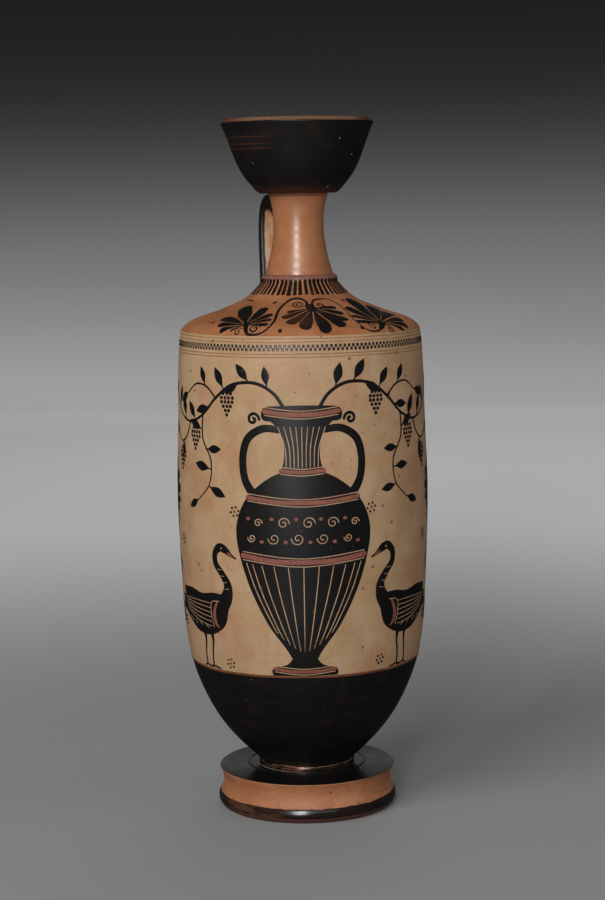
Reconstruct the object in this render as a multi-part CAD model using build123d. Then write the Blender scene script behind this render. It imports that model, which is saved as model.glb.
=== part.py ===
from build123d import *
import os

# Cylinder oil flask of fired clay, with a stepped foot, a narrow neck, a deep cup mouth and one strap
# handle. Each thrown or pulled piece is a solid of its own, and they are luted face to face.
# Millimetres, +Z up. The origin is the middle of the ring that the foot rests on, and the handle is at +Y.

# Driving heights, from the ground up
FOOT_HEIGHT = 19.0  # at the edge of the foot's top
FOOT_DOME = 1.2  # rise of the foot's top from its edge to the join
FILLET_HEIGHT = 2.4
BODY_HEIGHT = 208.4  # from the fillet's top to the join with the shoulder
SHOULDER_HEIGHT = 24.0  # to the join with the neck
NECK_HEIGHT = 40.0
MOUTH_HEIGHT = 35.0

# Foot: a rounded lower step and a hollowed upper step over a cone-shaped recess
FOOT_RADIUS = 43.1  # widest part of the lower step
FOOT_REST_INSET = 2.2  # how far inside the widest part the resting ring ends
FOOT_REST_WIDTH = 7.5
FOOT_STEP_INSET = 1.4  # where the two steps meet
FOOT_STEP_HEIGHT = 7.3
FOOT_WAIST_INSET = 2.4
FOOT_TOP_INSET = 0.7
FOOT_EDGE_ROUND = 0.5
FOOT_RECESS_DEPTH = 9.0
FOOT_RING_SPACING = 4.7  # from the fillet out to a faint ridge turned on the foot's top
FOOT_RING_WIDTH = 1.6
FOOT_RING_RISE = 0.35
BULGE_HEIGHT_SHARE = 0.5  # height of the widest place, as a share of the lower step
WAIST_HEIGHT_SHARE = 0.3  # height of the narrowest place, as a share of the upper step

# Fillet: the ring of clay in the corner between foot and body
BODY_SEAT_RADIUS = 20.6  # flat disc on which the body stands
FILLET_WIDTH = 1.9  # on its flat top
FILLET_BULGE = 0.8

# Body: the thrown cylinder
BODY_RADIUS = 60.0
BODY_WALL = 5.0
BODY_FLOOR = 11.0
RIM_SHARE = 0.95  # radius at the shoulder join, as a share of the widest
# Outline of the belly: (share of the radius, share of the height)
BELLY_SHARES = (
    (0.507, 0.035),
    (0.712, 0.107),
    (0.819, 0.165),
    (0.894, 0.222),
    (0.947, 0.294),
    (0.976, 0.409),
    (1.000, 0.640),
    (0.983, 0.812),
    (0.967, 0.954),
)

# Shoulder: the shallow cone that closes the body
SHOULDER_LEDGE_WIDTH = 1.9  # of the ledge round the neck that carries the neck ring
SHOULDER_COLLAR = 1.4  # rise of the collar above that ledge
SHOULDER_WALL = 4.5
SHOULDER_HOLE_RADIUS = 9.5
# Outline: (share of the way from the ledge out to the rim, share of the way from the rim up to the ledge)
SHOULDER_SHARES = (
    (0.935, 0.125),
    (0.655, 0.325),
    (0.373, 0.515),
    (0.200, 0.660),
    (0.085, 0.830),
)
# Inside of the shoulder, from the hole out to the inner rim in the same way
SHOULDER_INSIDE_SHARES = (
    (0.71, 0.18),
    (0.48, 0.37),
    (0.36, 0.54),
    (0.25, 0.73),
    (0.12, 0.91),
)

# Neck ring: the ridge over the join of neck and shoulder
NECK_RING_BULGE = 0.1  # beyond the ledge
NECK_RING_HEIGHT = 3.3

# Neck: the thrown tube
NECK_FOOT_RADIUS = 16.1
NECK_WAIST_RADIUS = 11.9
NECK_TOP_RADIUS = 14.2
NECK_BORE_RADIUS = 6.5
NECK_FLARE_HEIGHT = 9.0  # the bore widens to the shoulder's hole over this height
NECK_WAIST_SHARE = 0.62  # height of the narrowest place
NECK_LOW_SHARES = (0.290, 0.337)  # (how much of the spread to the foot is left, height)
NECK_HIGH_SHARES = (0.340, 0.855)  # (how much of the spread to the top is reached, height)

# Mouth: the deep cup
MOUTH_RADIUS = 36.1
MOUTH_BEVEL_WIDTH = 2.2  # of the bevel between the widest part and the flat lip
MOUTH_BEVEL_HEIGHT = 1.9
MOUTH_LIP_WIDTH = 3.0
MOUTH_FLOOR = 6.0
MOUTH_EDGE_HEIGHT = 0.3
MOUTH_BASE_WIDTH = 3.5  # of the flat underside round the neck
# Outside of the cup: (share of the way from the base out to the widest, share of the cup's height)
MOUTH_SHARES = (
    (0.092, 0.028),
    (0.190, 0.085),
    (0.425, 0.250),
    (0.674, 0.524),
    (0.848, 0.793),
)
# Inside of the cup, from the bore out to the lip and from the cup's floor up to the lip
MOUTH_INSIDE_SHARES = (
    (0.24, 0.04),
    (0.57, 0.19),
    (0.82, 0.46),
    (0.95, 0.76),
)

# Handle: a pulled strap that springs from the neck, turns under the mouth and lands on the shoulder
HANDLE_REACH = 31.2  # middle of the strap from the flask's axis, at its furthest
HANDLE_WIDTH = 16.5
HANDLE_THICKNESS = 5.6
HANDLE_EDGE_SHARE = 0.62  # thickness at the strap's edges, as a share of its middle
# Line of the strap: share of the way from the neck's waist out to the reach, share of the height from
# the body's rim up to the mouth, then the width and the thickness there as shares of the strap's own
HANDLE_SHARES = (
    (-0.430, 0.610, 0.72, 1.08),
    (-0.140, 0.727, 0.84, 1.10),
    (0.075, 0.838, 0.94, 1.06),
    (0.290, 0.922, 1.00, 0.98),
    (0.540, 0.969, 1.00, 0.93),
    (0.762, 0.940, 1.00, 0.96),
    (0.932, 0.860, 1.00, 1.00),
    (1.000, 0.734, 1.00, 1.02),
    (0.985, 0.548, 1.00, 1.06),
    (0.905, 0.359, 1.05, 1.16),
    (0.835, 0.203, 1.16, 1.50),
    (0.800, 0.068, 1.20, 1.70),
)

# Heights and radii that follow from the sizes above
seat_z = FOOT_HEIGHT + FOOT_DOME
flare_z = seat_z + FILLET_HEIGHT
rim_z = flare_z + BODY_HEIGHT
neck_z = rim_z + SHOULDER_HEIGHT
ledge_z = neck_z - SHOULDER_COLLAR
mouth_z = neck_z + NECK_HEIGHT
lip_z = mouth_z + MOUTH_HEIGHT
fillet_top_radius = BODY_SEAT_RADIUS + FILLET_WIDTH
fillet_radius = fillet_top_radius + FILLET_BULGE
rim_radius = BODY_RADIUS * RIM_SHARE
inner_radius = BODY_RADIUS - BODY_WALL
inner_rim_radius = inner_radius * RIM_SHARE
ledge_radius = NECK_FOOT_RADIUS + SHOULDER_LEDGE_WIDTH


def turned(*lines):
    """Turn a closed outline of (radius, height) lines about the flask's axis."""
    edges = [edge for line in lines for edge in line.edges()]
    return revolve(Plane.XZ * make_face(edges), Axis.Z)


def between(shares, start, end):
    """Places between two corners, from shares of the way across and of the way up."""
    return [
        (start[0] + (end[0] - start[0]) * across, start[1] + (end[1] - start[1]) * up)
        for across, up in shares
    ]


def foot():
    """Stepped disc, hollow below, with a low dome above."""
    rest_radius = FOOT_RADIUS - FOOT_REST_INSET
    rest_inner = rest_radius - FOOT_REST_WIDTH
    bulge = (FOOT_RADIUS, FOOT_STEP_HEIGHT * BULGE_HEIGHT_SHARE)
    step = (FOOT_RADIUS - FOOT_STEP_INSET, FOOT_STEP_HEIGHT)
    upper_step = FOOT_HEIGHT - FOOT_STEP_HEIGHT
    waist = (FOOT_RADIUS - FOOT_WAIST_INSET, FOOT_STEP_HEIGHT + upper_step * WAIST_HEIGHT_SHARE)
    top_radius = FOOT_RADIUS - FOOT_TOP_INSET
    edge_low = (top_radius, FOOT_HEIGHT - FOOT_EDGE_ROUND)
    edge_in = (top_radius - FOOT_EDGE_ROUND, FOOT_HEIGHT)
    slope = FOOT_DOME / (edge_in[0] - fillet_radius)
    ring_radius = fillet_radius + FOOT_RING_SPACING

    def on_top(radius):
        return (radius, FOOT_HEIGHT + (edge_in[0] - radius) * slope)

    ring_out = on_top(ring_radius + FOOT_RING_WIDTH / 2)
    ring_in = on_top(ring_radius - FOOT_RING_WIDTH / 2)
    ring_middle = on_top(ring_radius)
    return turned(
        Line((0, FOOT_RECESS_DEPTH), (rest_inner, 0)),
        Line((rest_inner, 0), (rest_radius, 0)),
        ThreePointArc((rest_radius, 0), bulge, step),
        Spline([step, waist, edge_low]),
        Line(edge_low, edge_in),
        Line(edge_in, ring_out),
        ThreePointArc(ring_out, (ring_middle[0], ring_middle[1] + FOOT_RING_RISE), ring_in),
        Line(ring_in, (fillet_radius, seat_z)),
        Line((fillet_radius, seat_z), (0, seat_z)),
        Line((0, seat_z), (0, FOOT_RECESS_DEPTH)),
    )


def foot_fillet():
    """Ring of clay round the body's seat, rounded outside."""
    bulge = (fillet_radius, seat_z + FILLET_HEIGHT / 2)
    return turned(
        Line((BODY_SEAT_RADIUS, seat_z), (fillet_top_radius, seat_z)),
        ThreePointArc((fillet_top_radius, seat_z), bulge, (fillet_top_radius, flare_z)),
        Line((fillet_top_radius, flare_z), (BODY_SEAT_RADIUS, flare_z)),
        Line((BODY_SEAT_RADIUS, flare_z), (BODY_SEAT_RADIUS, seat_z)),
    )


def body():
    """Thrown cylinder, open above, that stands on the foot with a flat seat."""
    floor_z = seat_z + BODY_FLOOR
    outside = between(BELLY_SHARES, (0, flare_z), (BODY_RADIUS, rim_z))
    inside = between(BELLY_SHARES, (0, floor_z), (inner_radius, rim_z))
    return turned(
        Line((0, seat_z), (BODY_SEAT_RADIUS, seat_z)),
        Line((BODY_SEAT_RADIUS, seat_z), (BODY_SEAT_RADIUS, flare_z)),
        Line((BODY_SEAT_RADIUS, flare_z), (fillet_top_radius, flare_z)),
        Spline([(fillet_top_radius, flare_z), *outside, (rim_radius, rim_z)]),
        Line((rim_radius, rim_z), (inner_rim_radius, rim_z)),
        Spline([(inner_rim_radius, rim_z), *reversed(inside), (0, floor_z)]),
        Line((0, floor_z), (0, seat_z)),
    )


def shoulder_outline():
    """Outside of the shoulder, from the rim in to the ledge."""
    ledge = (ledge_radius, ledge_z)
    rim = (rim_radius, rim_z)
    places = between(SHOULDER_SHARES, (ledge[0], rim[1]), (rim[0], ledge[1]))
    return Spline([rim, *places, ledge])


def shoulder():
    """Shallow cone over the body, with a ledge and a collar round its hole."""
    hole_low_z = ledge_z - SHOULDER_WALL
    inside = between(
        SHOULDER_INSIDE_SHARES, (SHOULDER_HOLE_RADIUS, rim_z), (inner_rim_radius, hole_low_z)
    )
    return turned(
        shoulder_outline(),
        Line((ledge_radius, ledge_z), (NECK_FOOT_RADIUS, ledge_z)),
        Line((NECK_FOOT_RADIUS, ledge_z), (NECK_FOOT_RADIUS, neck_z)),
        Line((NECK_FOOT_RADIUS, neck_z), (SHOULDER_HOLE_RADIUS, neck_z)),
        Line((SHOULDER_HOLE_RADIUS, neck_z), (SHOULDER_HOLE_RADIUS, hole_low_z)),
        Spline([(SHOULDER_HOLE_RADIUS, hole_low_z), *reversed(inside), (inner_rim_radius, rim_z)]),
        Line((inner_rim_radius, rim_z), (rim_radius, rim_z)),
    )


def neck_ring():
    """Half-round ring that sits on the shoulder's ledge and hides the join."""
    top_z = ledge_z + NECK_RING_HEIGHT
    bulge = (ledge_radius + NECK_RING_BULGE, ledge_z + NECK_RING_HEIGHT / 2)
    return turned(
        Line((NECK_FOOT_RADIUS, ledge_z), (ledge_radius, ledge_z)),
        ThreePointArc((ledge_radius, ledge_z), bulge, (NECK_FOOT_RADIUS, top_z)),
        Line((NECK_FOOT_RADIUS, top_z), (NECK_FOOT_RADIUS, ledge_z)),
    )


def neck_outline():
    """Outside of the neck, from the ring's top up to the mouth."""
    ring_top_z = ledge_z + NECK_RING_HEIGHT
    low_share, low_height = NECK_LOW_SHARES
    high_share, high_height = NECK_HIGH_SHARES
    low_radius = NECK_WAIST_RADIUS + (NECK_FOOT_RADIUS - NECK_WAIST_RADIUS) * low_share
    high_radius = NECK_WAIST_RADIUS + (NECK_TOP_RADIUS - NECK_WAIST_RADIUS) * high_share
    return Spline(
        [
            (NECK_FOOT_RADIUS, ring_top_z),
            (low_radius, neck_z + NECK_HEIGHT * low_height),
            (NECK_WAIST_RADIUS, neck_z + NECK_HEIGHT * NECK_WAIST_SHARE),
            (high_radius, neck_z + NECK_HEIGHT * high_height),
            (NECK_TOP_RADIUS, mouth_z),
        ]
    )


def neck():
    """Waisted tube whose bore widens to the shoulder's hole."""
    ring_top_z = ledge_z + NECK_RING_HEIGHT
    return turned(
        Line((SHOULDER_HOLE_RADIUS, neck_z), (NECK_FOOT_RADIUS, neck_z)),
        Line((NECK_FOOT_RADIUS, neck_z), (NECK_FOOT_RADIUS, ring_top_z)),
        neck_outline(),
        Line((NECK_TOP_RADIUS, mouth_z), (NECK_BORE_RADIUS, mouth_z)),
        Line((NECK_BORE_RADIUS, mouth_z), (NECK_BORE_RADIUS, neck_z + NECK_FLARE_HEIGHT)),
        Line((NECK_BORE_RADIUS, neck_z + NECK_FLARE_HEIGHT), (SHOULDER_HOLE_RADIUS, neck_z)),
    )


def mouth():
    """Deep cup with a bevelled flat lip, open below into the neck's bore."""
    edge_z = lip_z - MOUTH_BEVEL_HEIGHT
    low_edge_z = edge_z - MOUTH_EDGE_HEIGHT
    floor_z = mouth_z + MOUTH_FLOOR
    lip_outer = MOUTH_RADIUS - MOUTH_BEVEL_WIDTH
    lip_inner = lip_outer - MOUTH_LIP_WIDTH
    base_radius = NECK_TOP_RADIUS + MOUTH_BASE_WIDTH
    outside = between(MOUTH_SHARES, (base_radius, mouth_z), (MOUTH_RADIUS, low_edge_z))
    inside = between(MOUTH_INSIDE_SHARES, (NECK_BORE_RADIUS, floor_z), (lip_inner, lip_z))
    return turned(
        Line((NECK_BORE_RADIUS, mouth_z), (base_radius, mouth_z)),
        Spline([(base_radius, mouth_z), *outside, (MOUTH_RADIUS, low_edge_z)]),
        Line((MOUTH_RADIUS, low_edge_z), (MOUTH_RADIUS, edge_z)),
        Line((MOUTH_RADIUS, edge_z), (lip_outer, lip_z)),
        Line((lip_outer, lip_z), (lip_inner, lip_z)),
        Spline([(lip_inner, lip_z), *reversed(inside), (NECK_BORE_RADIUS, floor_z)]),
        Line((NECK_BORE_RADIUS, floor_z), (NECK_BORE_RADIUS, mouth_z)),
    )


def strap_section(width, thickness):
    """Cross-section of the strap: crowned on both faces, with round edges."""
    edge = thickness * HANDLE_EDGE_SHARE / 2
    side = width / 2 - edge
    crown = thickness / 2
    return make_face(
        [
            ThreePointArc((-side, edge), (0, crown), (side, edge)).edge(),
            ThreePointArc((side, edge), (width / 2, 0), (side, -edge)).edge(),
            ThreePointArc((side, -edge), (0, -crown), (-side, -edge)).edge(),
            ThreePointArc((-side, -edge), (-width / 2, 0), (-side, edge)).edge(),
        ]
    )


def handle():
    """Strap lofted along its arch, with spread roots cut to the neck and the shoulder."""
    spread = HANDLE_REACH - NECK_WAIST_RADIUS
    rise = mouth_z - rim_z
    places = [
        (0, NECK_WAIST_RADIUS + spread * out, rim_z + rise * up) for out, up, _, _ in HANDLE_SHARES
    ]
    line = Spline(places)
    sections = []
    for place, (_, _, wide, thick) in zip(places, HANDLE_SHARES):
        at = line.param_at_point(Vector(*place))
        plane = Plane(origin=place, x_dir=(1, 0, 0), z_dir=line.tangent_at(at))
        section = strap_section(HANDLE_WIDTH * wide, HANDLE_THICKNESS * thick)
        sections.append(plane * section)
    strap = loft(sections)

    # The neck and the shoulder without their hollows, which the roots are cut to
    neck_solid = turned(
        neck_outline(),
        Line((NECK_TOP_RADIUS, mouth_z), (0, mouth_z)),
        Line((0, mouth_z), (0, neck_z)),
        Line((0, neck_z), (NECK_FOOT_RADIUS, neck_z)),
        Line((NECK_FOOT_RADIUS, neck_z), (NECK_FOOT_RADIUS, ledge_z + NECK_RING_HEIGHT)),
    )
    shoulder_solid = turned(
        shoulder_outline(),
        Line((ledge_radius, ledge_z), (0, ledge_z)),
        Line((0, ledge_z), (0, rim_z)),
        Line((0, rim_z), (rim_radius, rim_z)),
    )
    return strap - neck_solid - shoulder_solid


PIECES = {
    "foot": foot,
    "foot_fillet": foot_fillet,
    "body": body,
    "shoulder": shoulder,
    "neck_ring": neck_ring,
    "neck": neck,
    "mouth": mouth,
    "handle": handle,
}

os.makedirs("parts", exist_ok=True)
for name, make in PIECES.items():
    export_step(make(), f"parts/{name}.step")
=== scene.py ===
"""Looks of a tall cylinder oil flask: fired clay, a pale slip and black painted ornament.

The solids come from the frame and keep their shapes. Each gets its finish here, and the ornament is
added as thin coats of slip that are drawn flat and then draped over the solids. Drawings are in
millimetres: on an upright wall x goes round the flask and y is the height, and on the shoulder x and y
are the flask's own, seen from above. The frame is in metres, with the handle at +Y.
"""

import logging
import math
import random
from contextlib import contextmanager
from dataclasses import dataclass, field
from enum import Enum
from typing import Any, Callable, Iterator, Sequence

import bpy
import numpy as np
from mathutils import Matrix, Vector


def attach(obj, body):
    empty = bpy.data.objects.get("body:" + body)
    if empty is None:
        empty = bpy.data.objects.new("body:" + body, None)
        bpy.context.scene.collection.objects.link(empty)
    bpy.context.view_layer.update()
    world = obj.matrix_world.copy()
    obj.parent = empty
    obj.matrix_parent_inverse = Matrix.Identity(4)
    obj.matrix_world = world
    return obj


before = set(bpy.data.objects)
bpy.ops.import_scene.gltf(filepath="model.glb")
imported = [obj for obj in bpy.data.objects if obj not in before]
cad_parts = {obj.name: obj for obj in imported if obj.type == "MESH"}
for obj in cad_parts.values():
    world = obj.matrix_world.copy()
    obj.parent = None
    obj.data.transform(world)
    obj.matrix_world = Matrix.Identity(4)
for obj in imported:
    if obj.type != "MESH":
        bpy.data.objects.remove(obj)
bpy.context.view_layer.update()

MM = 0.001
DRAWING_RADIUS = 60.0
PAINTED_HEIGHTS = (22.6, 231.0)
BODY = "root"
LOG = logging.getLogger("flask")

Point = tuple[float, float]
Point3 = tuple[float, float, float]
Sample = tuple[float, float, float]
Looks = tuple[Any, Any, Any]


class Slot(Enum):
    """Material slots of the record."""

    CLAY = "orange_clay"
    PALE = "white_ground"
    GLOSS = "black_gloss"


class Tint(Enum):
    """Slip and clay colours, linear; two of them also stand for painted light or shade."""

    CLAY = (0.385, 0.150, 0.064)
    CLAY_DEEP = (0.270, 0.088, 0.034)
    CLAY_LIGHT = (0.470, 0.215, 0.105)
    NECK = (0.325, 0.130, 0.053)
    NECK_DEEP = (0.235, 0.080, 0.028)
    NECK_LIGHT = (0.370, 0.165, 0.080)
    # Red-brown of the ground line; the neck also takes it as painted shade right under the mouth.
    EDGE = (0.150, 0.048, 0.016)
    MISFIRED = (0.120, 0.055, 0.028)
    CREAM = (0.380, 0.240, 0.126)
    CREAM_LIGHT = (0.432, 0.289, 0.168)
    CREAM_WARM = (0.372, 0.180, 0.095)
    OCHRE = (0.300, 0.198, 0.088)
    BLACK = (0.0055, 0.0055, 0.0057)
    BROWN = (0.055, 0.020, 0.010)
    RUST = (0.130, 0.052, 0.036)
    # Painted light: the lip's lighter, browner tone on its front side, where the lamps fall.
    LIP = (0.150, 0.083, 0.048)
    LIP_RED = (0.095, 0.021, 0.013)
    RED = (0.185, 0.058, 0.042)
    PURPLE = (0.175, 0.068, 0.062)
    DILUTE = (0.230, 0.120, 0.045)
    UMBER = (0.105, 0.060, 0.034)
    PALE_FLECK = (0.330, 0.300, 0.250)
    SCRATCH = (0.400, 0.262, 0.148)
    FADED = (0.170, 0.140, 0.110)


def deselect() -> None:
    """Leave every object unselected, so that an operator acts only on what is picked next."""
    for thing in bpy.context.selected_objects:
        thing.select_set(False)


def pick(*things: bpy.types.Object) -> None:
    """Select some objects alone, and make the first one active.

    Args:
        *things: the objects.
    """
    deselect()
    for thing in things:
        thing.select_set(True)
    bpy.context.view_layer.objects.active = things[0]


@contextmanager
def editing() -> Iterator[None]:
    """Work in edit mode on the active object, with all of its mesh selected at first."""
    bpy.ops.object.mode_set(mode="EDIT")
    bpy.ops.mesh.select_all(action="SELECT")
    yield
    bpy.ops.object.mode_set(mode="OBJECT")


# Surfaces that carry the drawings


class Wall:
    """Upright outside of a turned node: x goes round it and y is the height."""

    CUTS = (3.0, 4.5)
    OUTWARD = 0.1

    def __init__(self, node: str, low: float, high: float, step: float = 1.2) -> None:
        """Read the outside radius at each height from the node's vertices.

        Args:
            node: name of the turned node.
            low: lowest height that carries a drawing, in millimetres.
            high: highest such height.
            step: spacing of the heights.
        """
        places, facing = node_places(node)
        radius = np.hypot(places[:, 0], places[:, 1])
        outward = (places[:, 0] * facing[:, 0] + places[:, 1] * facing[:, 1]) / np.maximum(radius, 0.001)
        seen = outward > self.OUTWARD
        self.heights, self.radii = outermost(places[seen, 2], radius[seen], low, high, step)

    def place(self, x: np.ndarray, y: np.ndarray, lift: np.ndarray) -> np.ndarray:
        """Put drawn points on the wall.

        Args:
            x: places round the flask, in millimetres at the drawing radius, to the right of the front.
            y: heights.
            lift: distances out from the surface.

        Returns:
            One row of x, y and z for each point, in metres.
        """
        angle = x / DRAWING_RADIUS
        reach = np.interp(y, self.heights, self.radii) + lift
        return np.column_stack([reach * np.sin(angle), -reach * np.cos(angle), y]) * MM


class Roof:
    """Shallow shoulder, drawn as seen from above."""

    STEP = 0.4
    CUTS = (3.0, 3.0)
    UPWARD = 0.1

    def __init__(self, node: str, inner: float, outer: float) -> None:
        """Read the top's height at each radius from the node's vertices.

        Args:
            node: name of the shoulder's node.
            inner: smallest radius that carries a drawing, in millimetres.
            outer: largest such radius.
        """
        places, facing = node_places(node)
        places = places[facing[:, 2] > self.UPWARD]
        radius = np.hypot(places[:, 0], places[:, 1])
        self.radii, self.heights = outermost(radius, places[:, 2], inner, outer, self.STEP)

    def place(self, x: np.ndarray, y: np.ndarray, lift: np.ndarray) -> np.ndarray:
        """Drop drawn points on the shoulder.

        Args:
            x: the flask's own x, in millimetres.
            y: the flask's own y.
            lift: distances out from the surface.

        Returns:
            One row of x, y and z for each point, in metres.
        """
        radius = np.hypot(x, y)
        height = np.interp(radius, self.radii, self.heights)
        slope = np.interp(radius, self.radii, np.gradient(self.heights, self.radii))
        square = np.sqrt(1 + slope**2)
        outward = -slope / square * lift / np.maximum(radius, 1)
        return np.column_stack([x + x * outward, y + y * outward, height + lift / square]) * MM


def node_places(node: str) -> tuple[np.ndarray, np.ndarray]:
    """Vertices of a node of the frame.

    Args:
        node: the node's name.

    Returns:
        Their places in millimetres, and the directions that they face.
    """
    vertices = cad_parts[node].data.vertices
    read = []
    for name in ("co", "normal"):
        values = np.zeros(len(vertices) * 3, np.float32)
        vertices.foreach_get(name, values)
        read.append(values.reshape(-1, 3).astype(float))
    return read[0] / MM, read[1]


def outermost(
    along: np.ndarray, out: np.ndarray, low: float, high: float, step: float
) -> tuple[np.ndarray, np.ndarray]:
    """Outside line of a turned shape, from its vertices.

    Args:
        along: where each vertex lies along the line.
        out: how far out each vertex lies.
        low: start of the line.
        high: end of the line.
        step: length of the stretches that keep one vertex each.

    Returns:
        Places along the line and the distance out at each of them.
    """
    line = []
    for start in np.arange(low, high, step):
        inside = (along >= start) & (along < start + step)
        if inside.any():
            best = np.argmax(np.where(inside, out, -np.inf))
            line.append((along[best], out[best]))
    line = np.array(line)
    return line[:, 0], line[:, 1]


# Drawing by hand: strokes, shapes and rings


def smooth_line(points: Sequence[Sequence[float]], step: float, closed: bool = False) -> list[tuple]:
    """Run a smooth line through points, with any further values such as the width carried along.

    Args:
        points: x, y and further values at each point.
        step: spacing of the samples, in millimetres.
        closed: whether the line returns to its start.

    Returns:
        Samples with as many values as the points.
    """
    rows = [np.array(point, float) for point in points]
    count = len(rows)
    samples = []
    for i in range(count if closed else count - 1):
        if closed:
            before, start, end, after = (rows[(i + k) % count] for k in (-1, 0, 1, 2))
        else:
            before, start, end = rows[max(i - 1, 0)], rows[i], rows[i + 1]
            after = rows[min(i + 2, count - 1)]
        pieces = max(2, math.ceil(float(np.hypot(*(end - start)[:2])) / step))
        for k in range(pieces):
            t = k / pieces
            value = 0.5 * (
                2 * start
                + (end - before) * t
                + (2 * before - 5 * start + 4 * end - after) * t**2
                + (3 * start - before - 3 * end + after) * t**3
            )
            samples.append(tuple(value))
    if not closed:
        samples.append(tuple(rows[-1]))
    return samples


@dataclass(frozen=True)
class Pose:
    """Where and how large a motif is drawn: its own x and y are turned, scaled and moved."""

    x: float = 0.0
    y: float = 0.0
    turn_deg: float = 0.0
    scale: float = 1.0
    mirrored: bool = False

    def put(self, x: float, y: float) -> Point:
        """Bring a point of the motif into the drawing.

        Args:
            x: the point's own x.
            y: its own y.

        Returns:
            The point in the drawing.
        """
        if self.mirrored:
            x = -x
        turn = math.radians(self.turn_deg)
        return (
            self.x + self.scale * (x * math.cos(turn) - y * math.sin(turn)),
            self.y + self.scale * (x * math.sin(turn) + y * math.cos(turn)),
        )


UPRIGHT = Pose()


@dataclass
class Coat:
    """One coat of slip: strokes, filled shapes and rings with the same finish."""

    name: str
    surface: Wall | Roof
    finish: Callable[[], bpy.types.Material]
    slot: Slot
    lift: float = 0.03
    thickness: float = 0.07
    edge: float = 0.08
    strokes: list[list[Sample]] = field(default_factory=list)
    shapes: list[list[Point]] = field(default_factory=list)
    rings: list[tuple[float, float, float, int]] = field(default_factory=list)
    squares: list[tuple[float, int, float, float, float]] = field(default_factory=list)
    spots: list[Sample] = field(default_factory=list)

    CAP_SHARES = ((0.5, 0.87), (0.8, 0.6), (0.95, 0.31), (1.0, 0.06))
    THINNEST = 0.02
    BROAD = 1.7
    WELD = 0.004
    VOLUTE_EYE = 0.18
    VOLUTE_STEPS = 20
    RING_STEPS = 240
    RING_SIDES = 8
    SQUARE_BEVEL = 0.07
    SPOT_SIDES = 10
    SPOT_BEVEL = 0.8
    FLAT_SHADE_DEG = 40.0

    def stroke(
        self, points: Sequence[Sample], pose: Pose = UPRIGHT, step: float = 0.9, ends: float = 1.0
    ) -> None:
        """Draw a brush stroke.

        Args:
            points: x, y and half the width at each point.
            pose: where the stroke is drawn.
            step: spacing of its samples.
            ends: how far its ends reach, as a share of half its width: 1 is round and 0.3 is blunt.
        """
        placed = [(*pose.put(x, y), width * pose.scale) for x, y, width in points]
        line = [(x, y, max(width, self.THINNEST)) for x, y, width in smooth_line(placed, step)]
        self.strokes.append(self._cap(line[::-1], True, ends)[::-1][:-1] + self._cap(line, False, ends))

    def _cap(self, line: list[Sample], alone: bool, ends: float) -> list[Sample]:
        """Close the end of a stroke.

        Args:
            line: the stroke's samples.
            alone: whether only the end itself is wanted.
            ends: how far the end reaches, as a share of half its width.

        Returns:
            The samples with the end after them.
        """
        (x0, y0, _), (x1, y1, width) = line[-2], line[-1]
        length = math.hypot(x1 - x0, y1 - y0) or 1.0
        ahead = ((x1 - x0) / length, (y1 - y0) / length)
        cap = [
            (x1 + ahead[0] * width * far * ends, y1 + ahead[1] * width * far * ends, width * wide)
            for far, wide in self.CAP_SHARES
        ]
        return ([line[-1]] if alone else line) + cap

    def dot(self, x: float, y: float, radius: float, pose: Pose = UPRIGHT) -> None:
        """Draw a round dot, or a short blot."""
        self.stroke([(x - radius * 0.15, y, radius), (x + radius * 0.15, y, radius)], pose)

    def spiral(
        self, centre: Point, reach: float, width: float, start_deg: float, turns: float,
        pose: Pose = UPRIGHT, lead: Sequence[Point] = (),
    ) -> None:
        """Draw a volute that winds in to its centre.

        Args:
            centre: middle of the volute.
            reach: its radius at the start.
            width: half the width of its line.
            start_deg: direction of its start from the centre.
            turns: number of turns, below zero for clockwise.
            pose: where it is drawn.
            lead: points that the line comes from.
        """
        steps = max(8, round(abs(turns) * self.VOLUTE_STEPS))
        line = [(x, y, width) for x, y in lead]
        for k in range(steps + 1):
            share = k / steps
            angle = math.radians(start_deg) + turns * 2 * math.pi * share
            radius = reach * (1 - (1 - self.VOLUTE_EYE) * share)
            line.append((centre[0] + radius * math.cos(angle), centre[1] + radius * math.sin(angle), width))
        self.stroke(line, pose, step=0.6)

    def shape(self, runs: Sequence[Sequence[Point]], pose: Pose = UPRIGHT, step: float = 1.2) -> None:
        """Fill a shape whose outline is made of smooth runs that meet at corners.

        Args:
            runs: the runs in order round the shape; each ends where the next one starts.
            pose: where the shape is drawn.
            step: spacing of the outline's samples.
        """
        outline: list[Point] = []
        for run in runs:
            placed = [pose.put(*point) for point in run]
            outline += smooth_line(placed, step)[:-1]
        self.shapes.append(outline)

    def ring(self, height: float, width: float, waver: float = 0.0, waves: int = 5) -> None:
        """Draw a line round a wall: its mean height, half its width, and how far and often it strays."""
        self.rings.append((height, width, waver, waves))

    def lay(self) -> None:
        """Model the coat, drape it over its surface and dress it."""
        parts = []
        for broad in (False, True):
            strokes = [stroke for stroke in self.strokes
                       if (max(sample[2] for sample in stroke) >= self.BROAD) == broad]
            if strokes:
                drawn = self._stroke_mesh(strokes)
                parts.append(self._cut(drawn) if broad else drawn)
        if self.shapes:
            parts.append(self._cut(self._shape_mesh()))
        parts += [self._ring_mesh(*ring) for ring in self.rings]
        parts += [self._square_mesh(*row) for row in self.squares]
        parts += self._spot_meshes()
        pick(*parts)
        if len(parts) > 1:
            bpy.ops.object.join()
        piece = bpy.context.view_layer.objects.active
        piece.name = piece.data.name = self.name
        self._drape(piece.data)
        pick(piece)
        with editing():
            bpy.ops.mesh.normals_make_consistent(inside=False)
        bpy.ops.object.shade_smooth_by_angle(angle=math.radians(self.FLAT_SHADE_DEG))
        piece.data.materials.clear()
        piece.data.materials.append(self.finish())
        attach(piece, BODY)
        LOG.info("coat %s: %d faces", self.name, len(piece.data.polygons))

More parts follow.
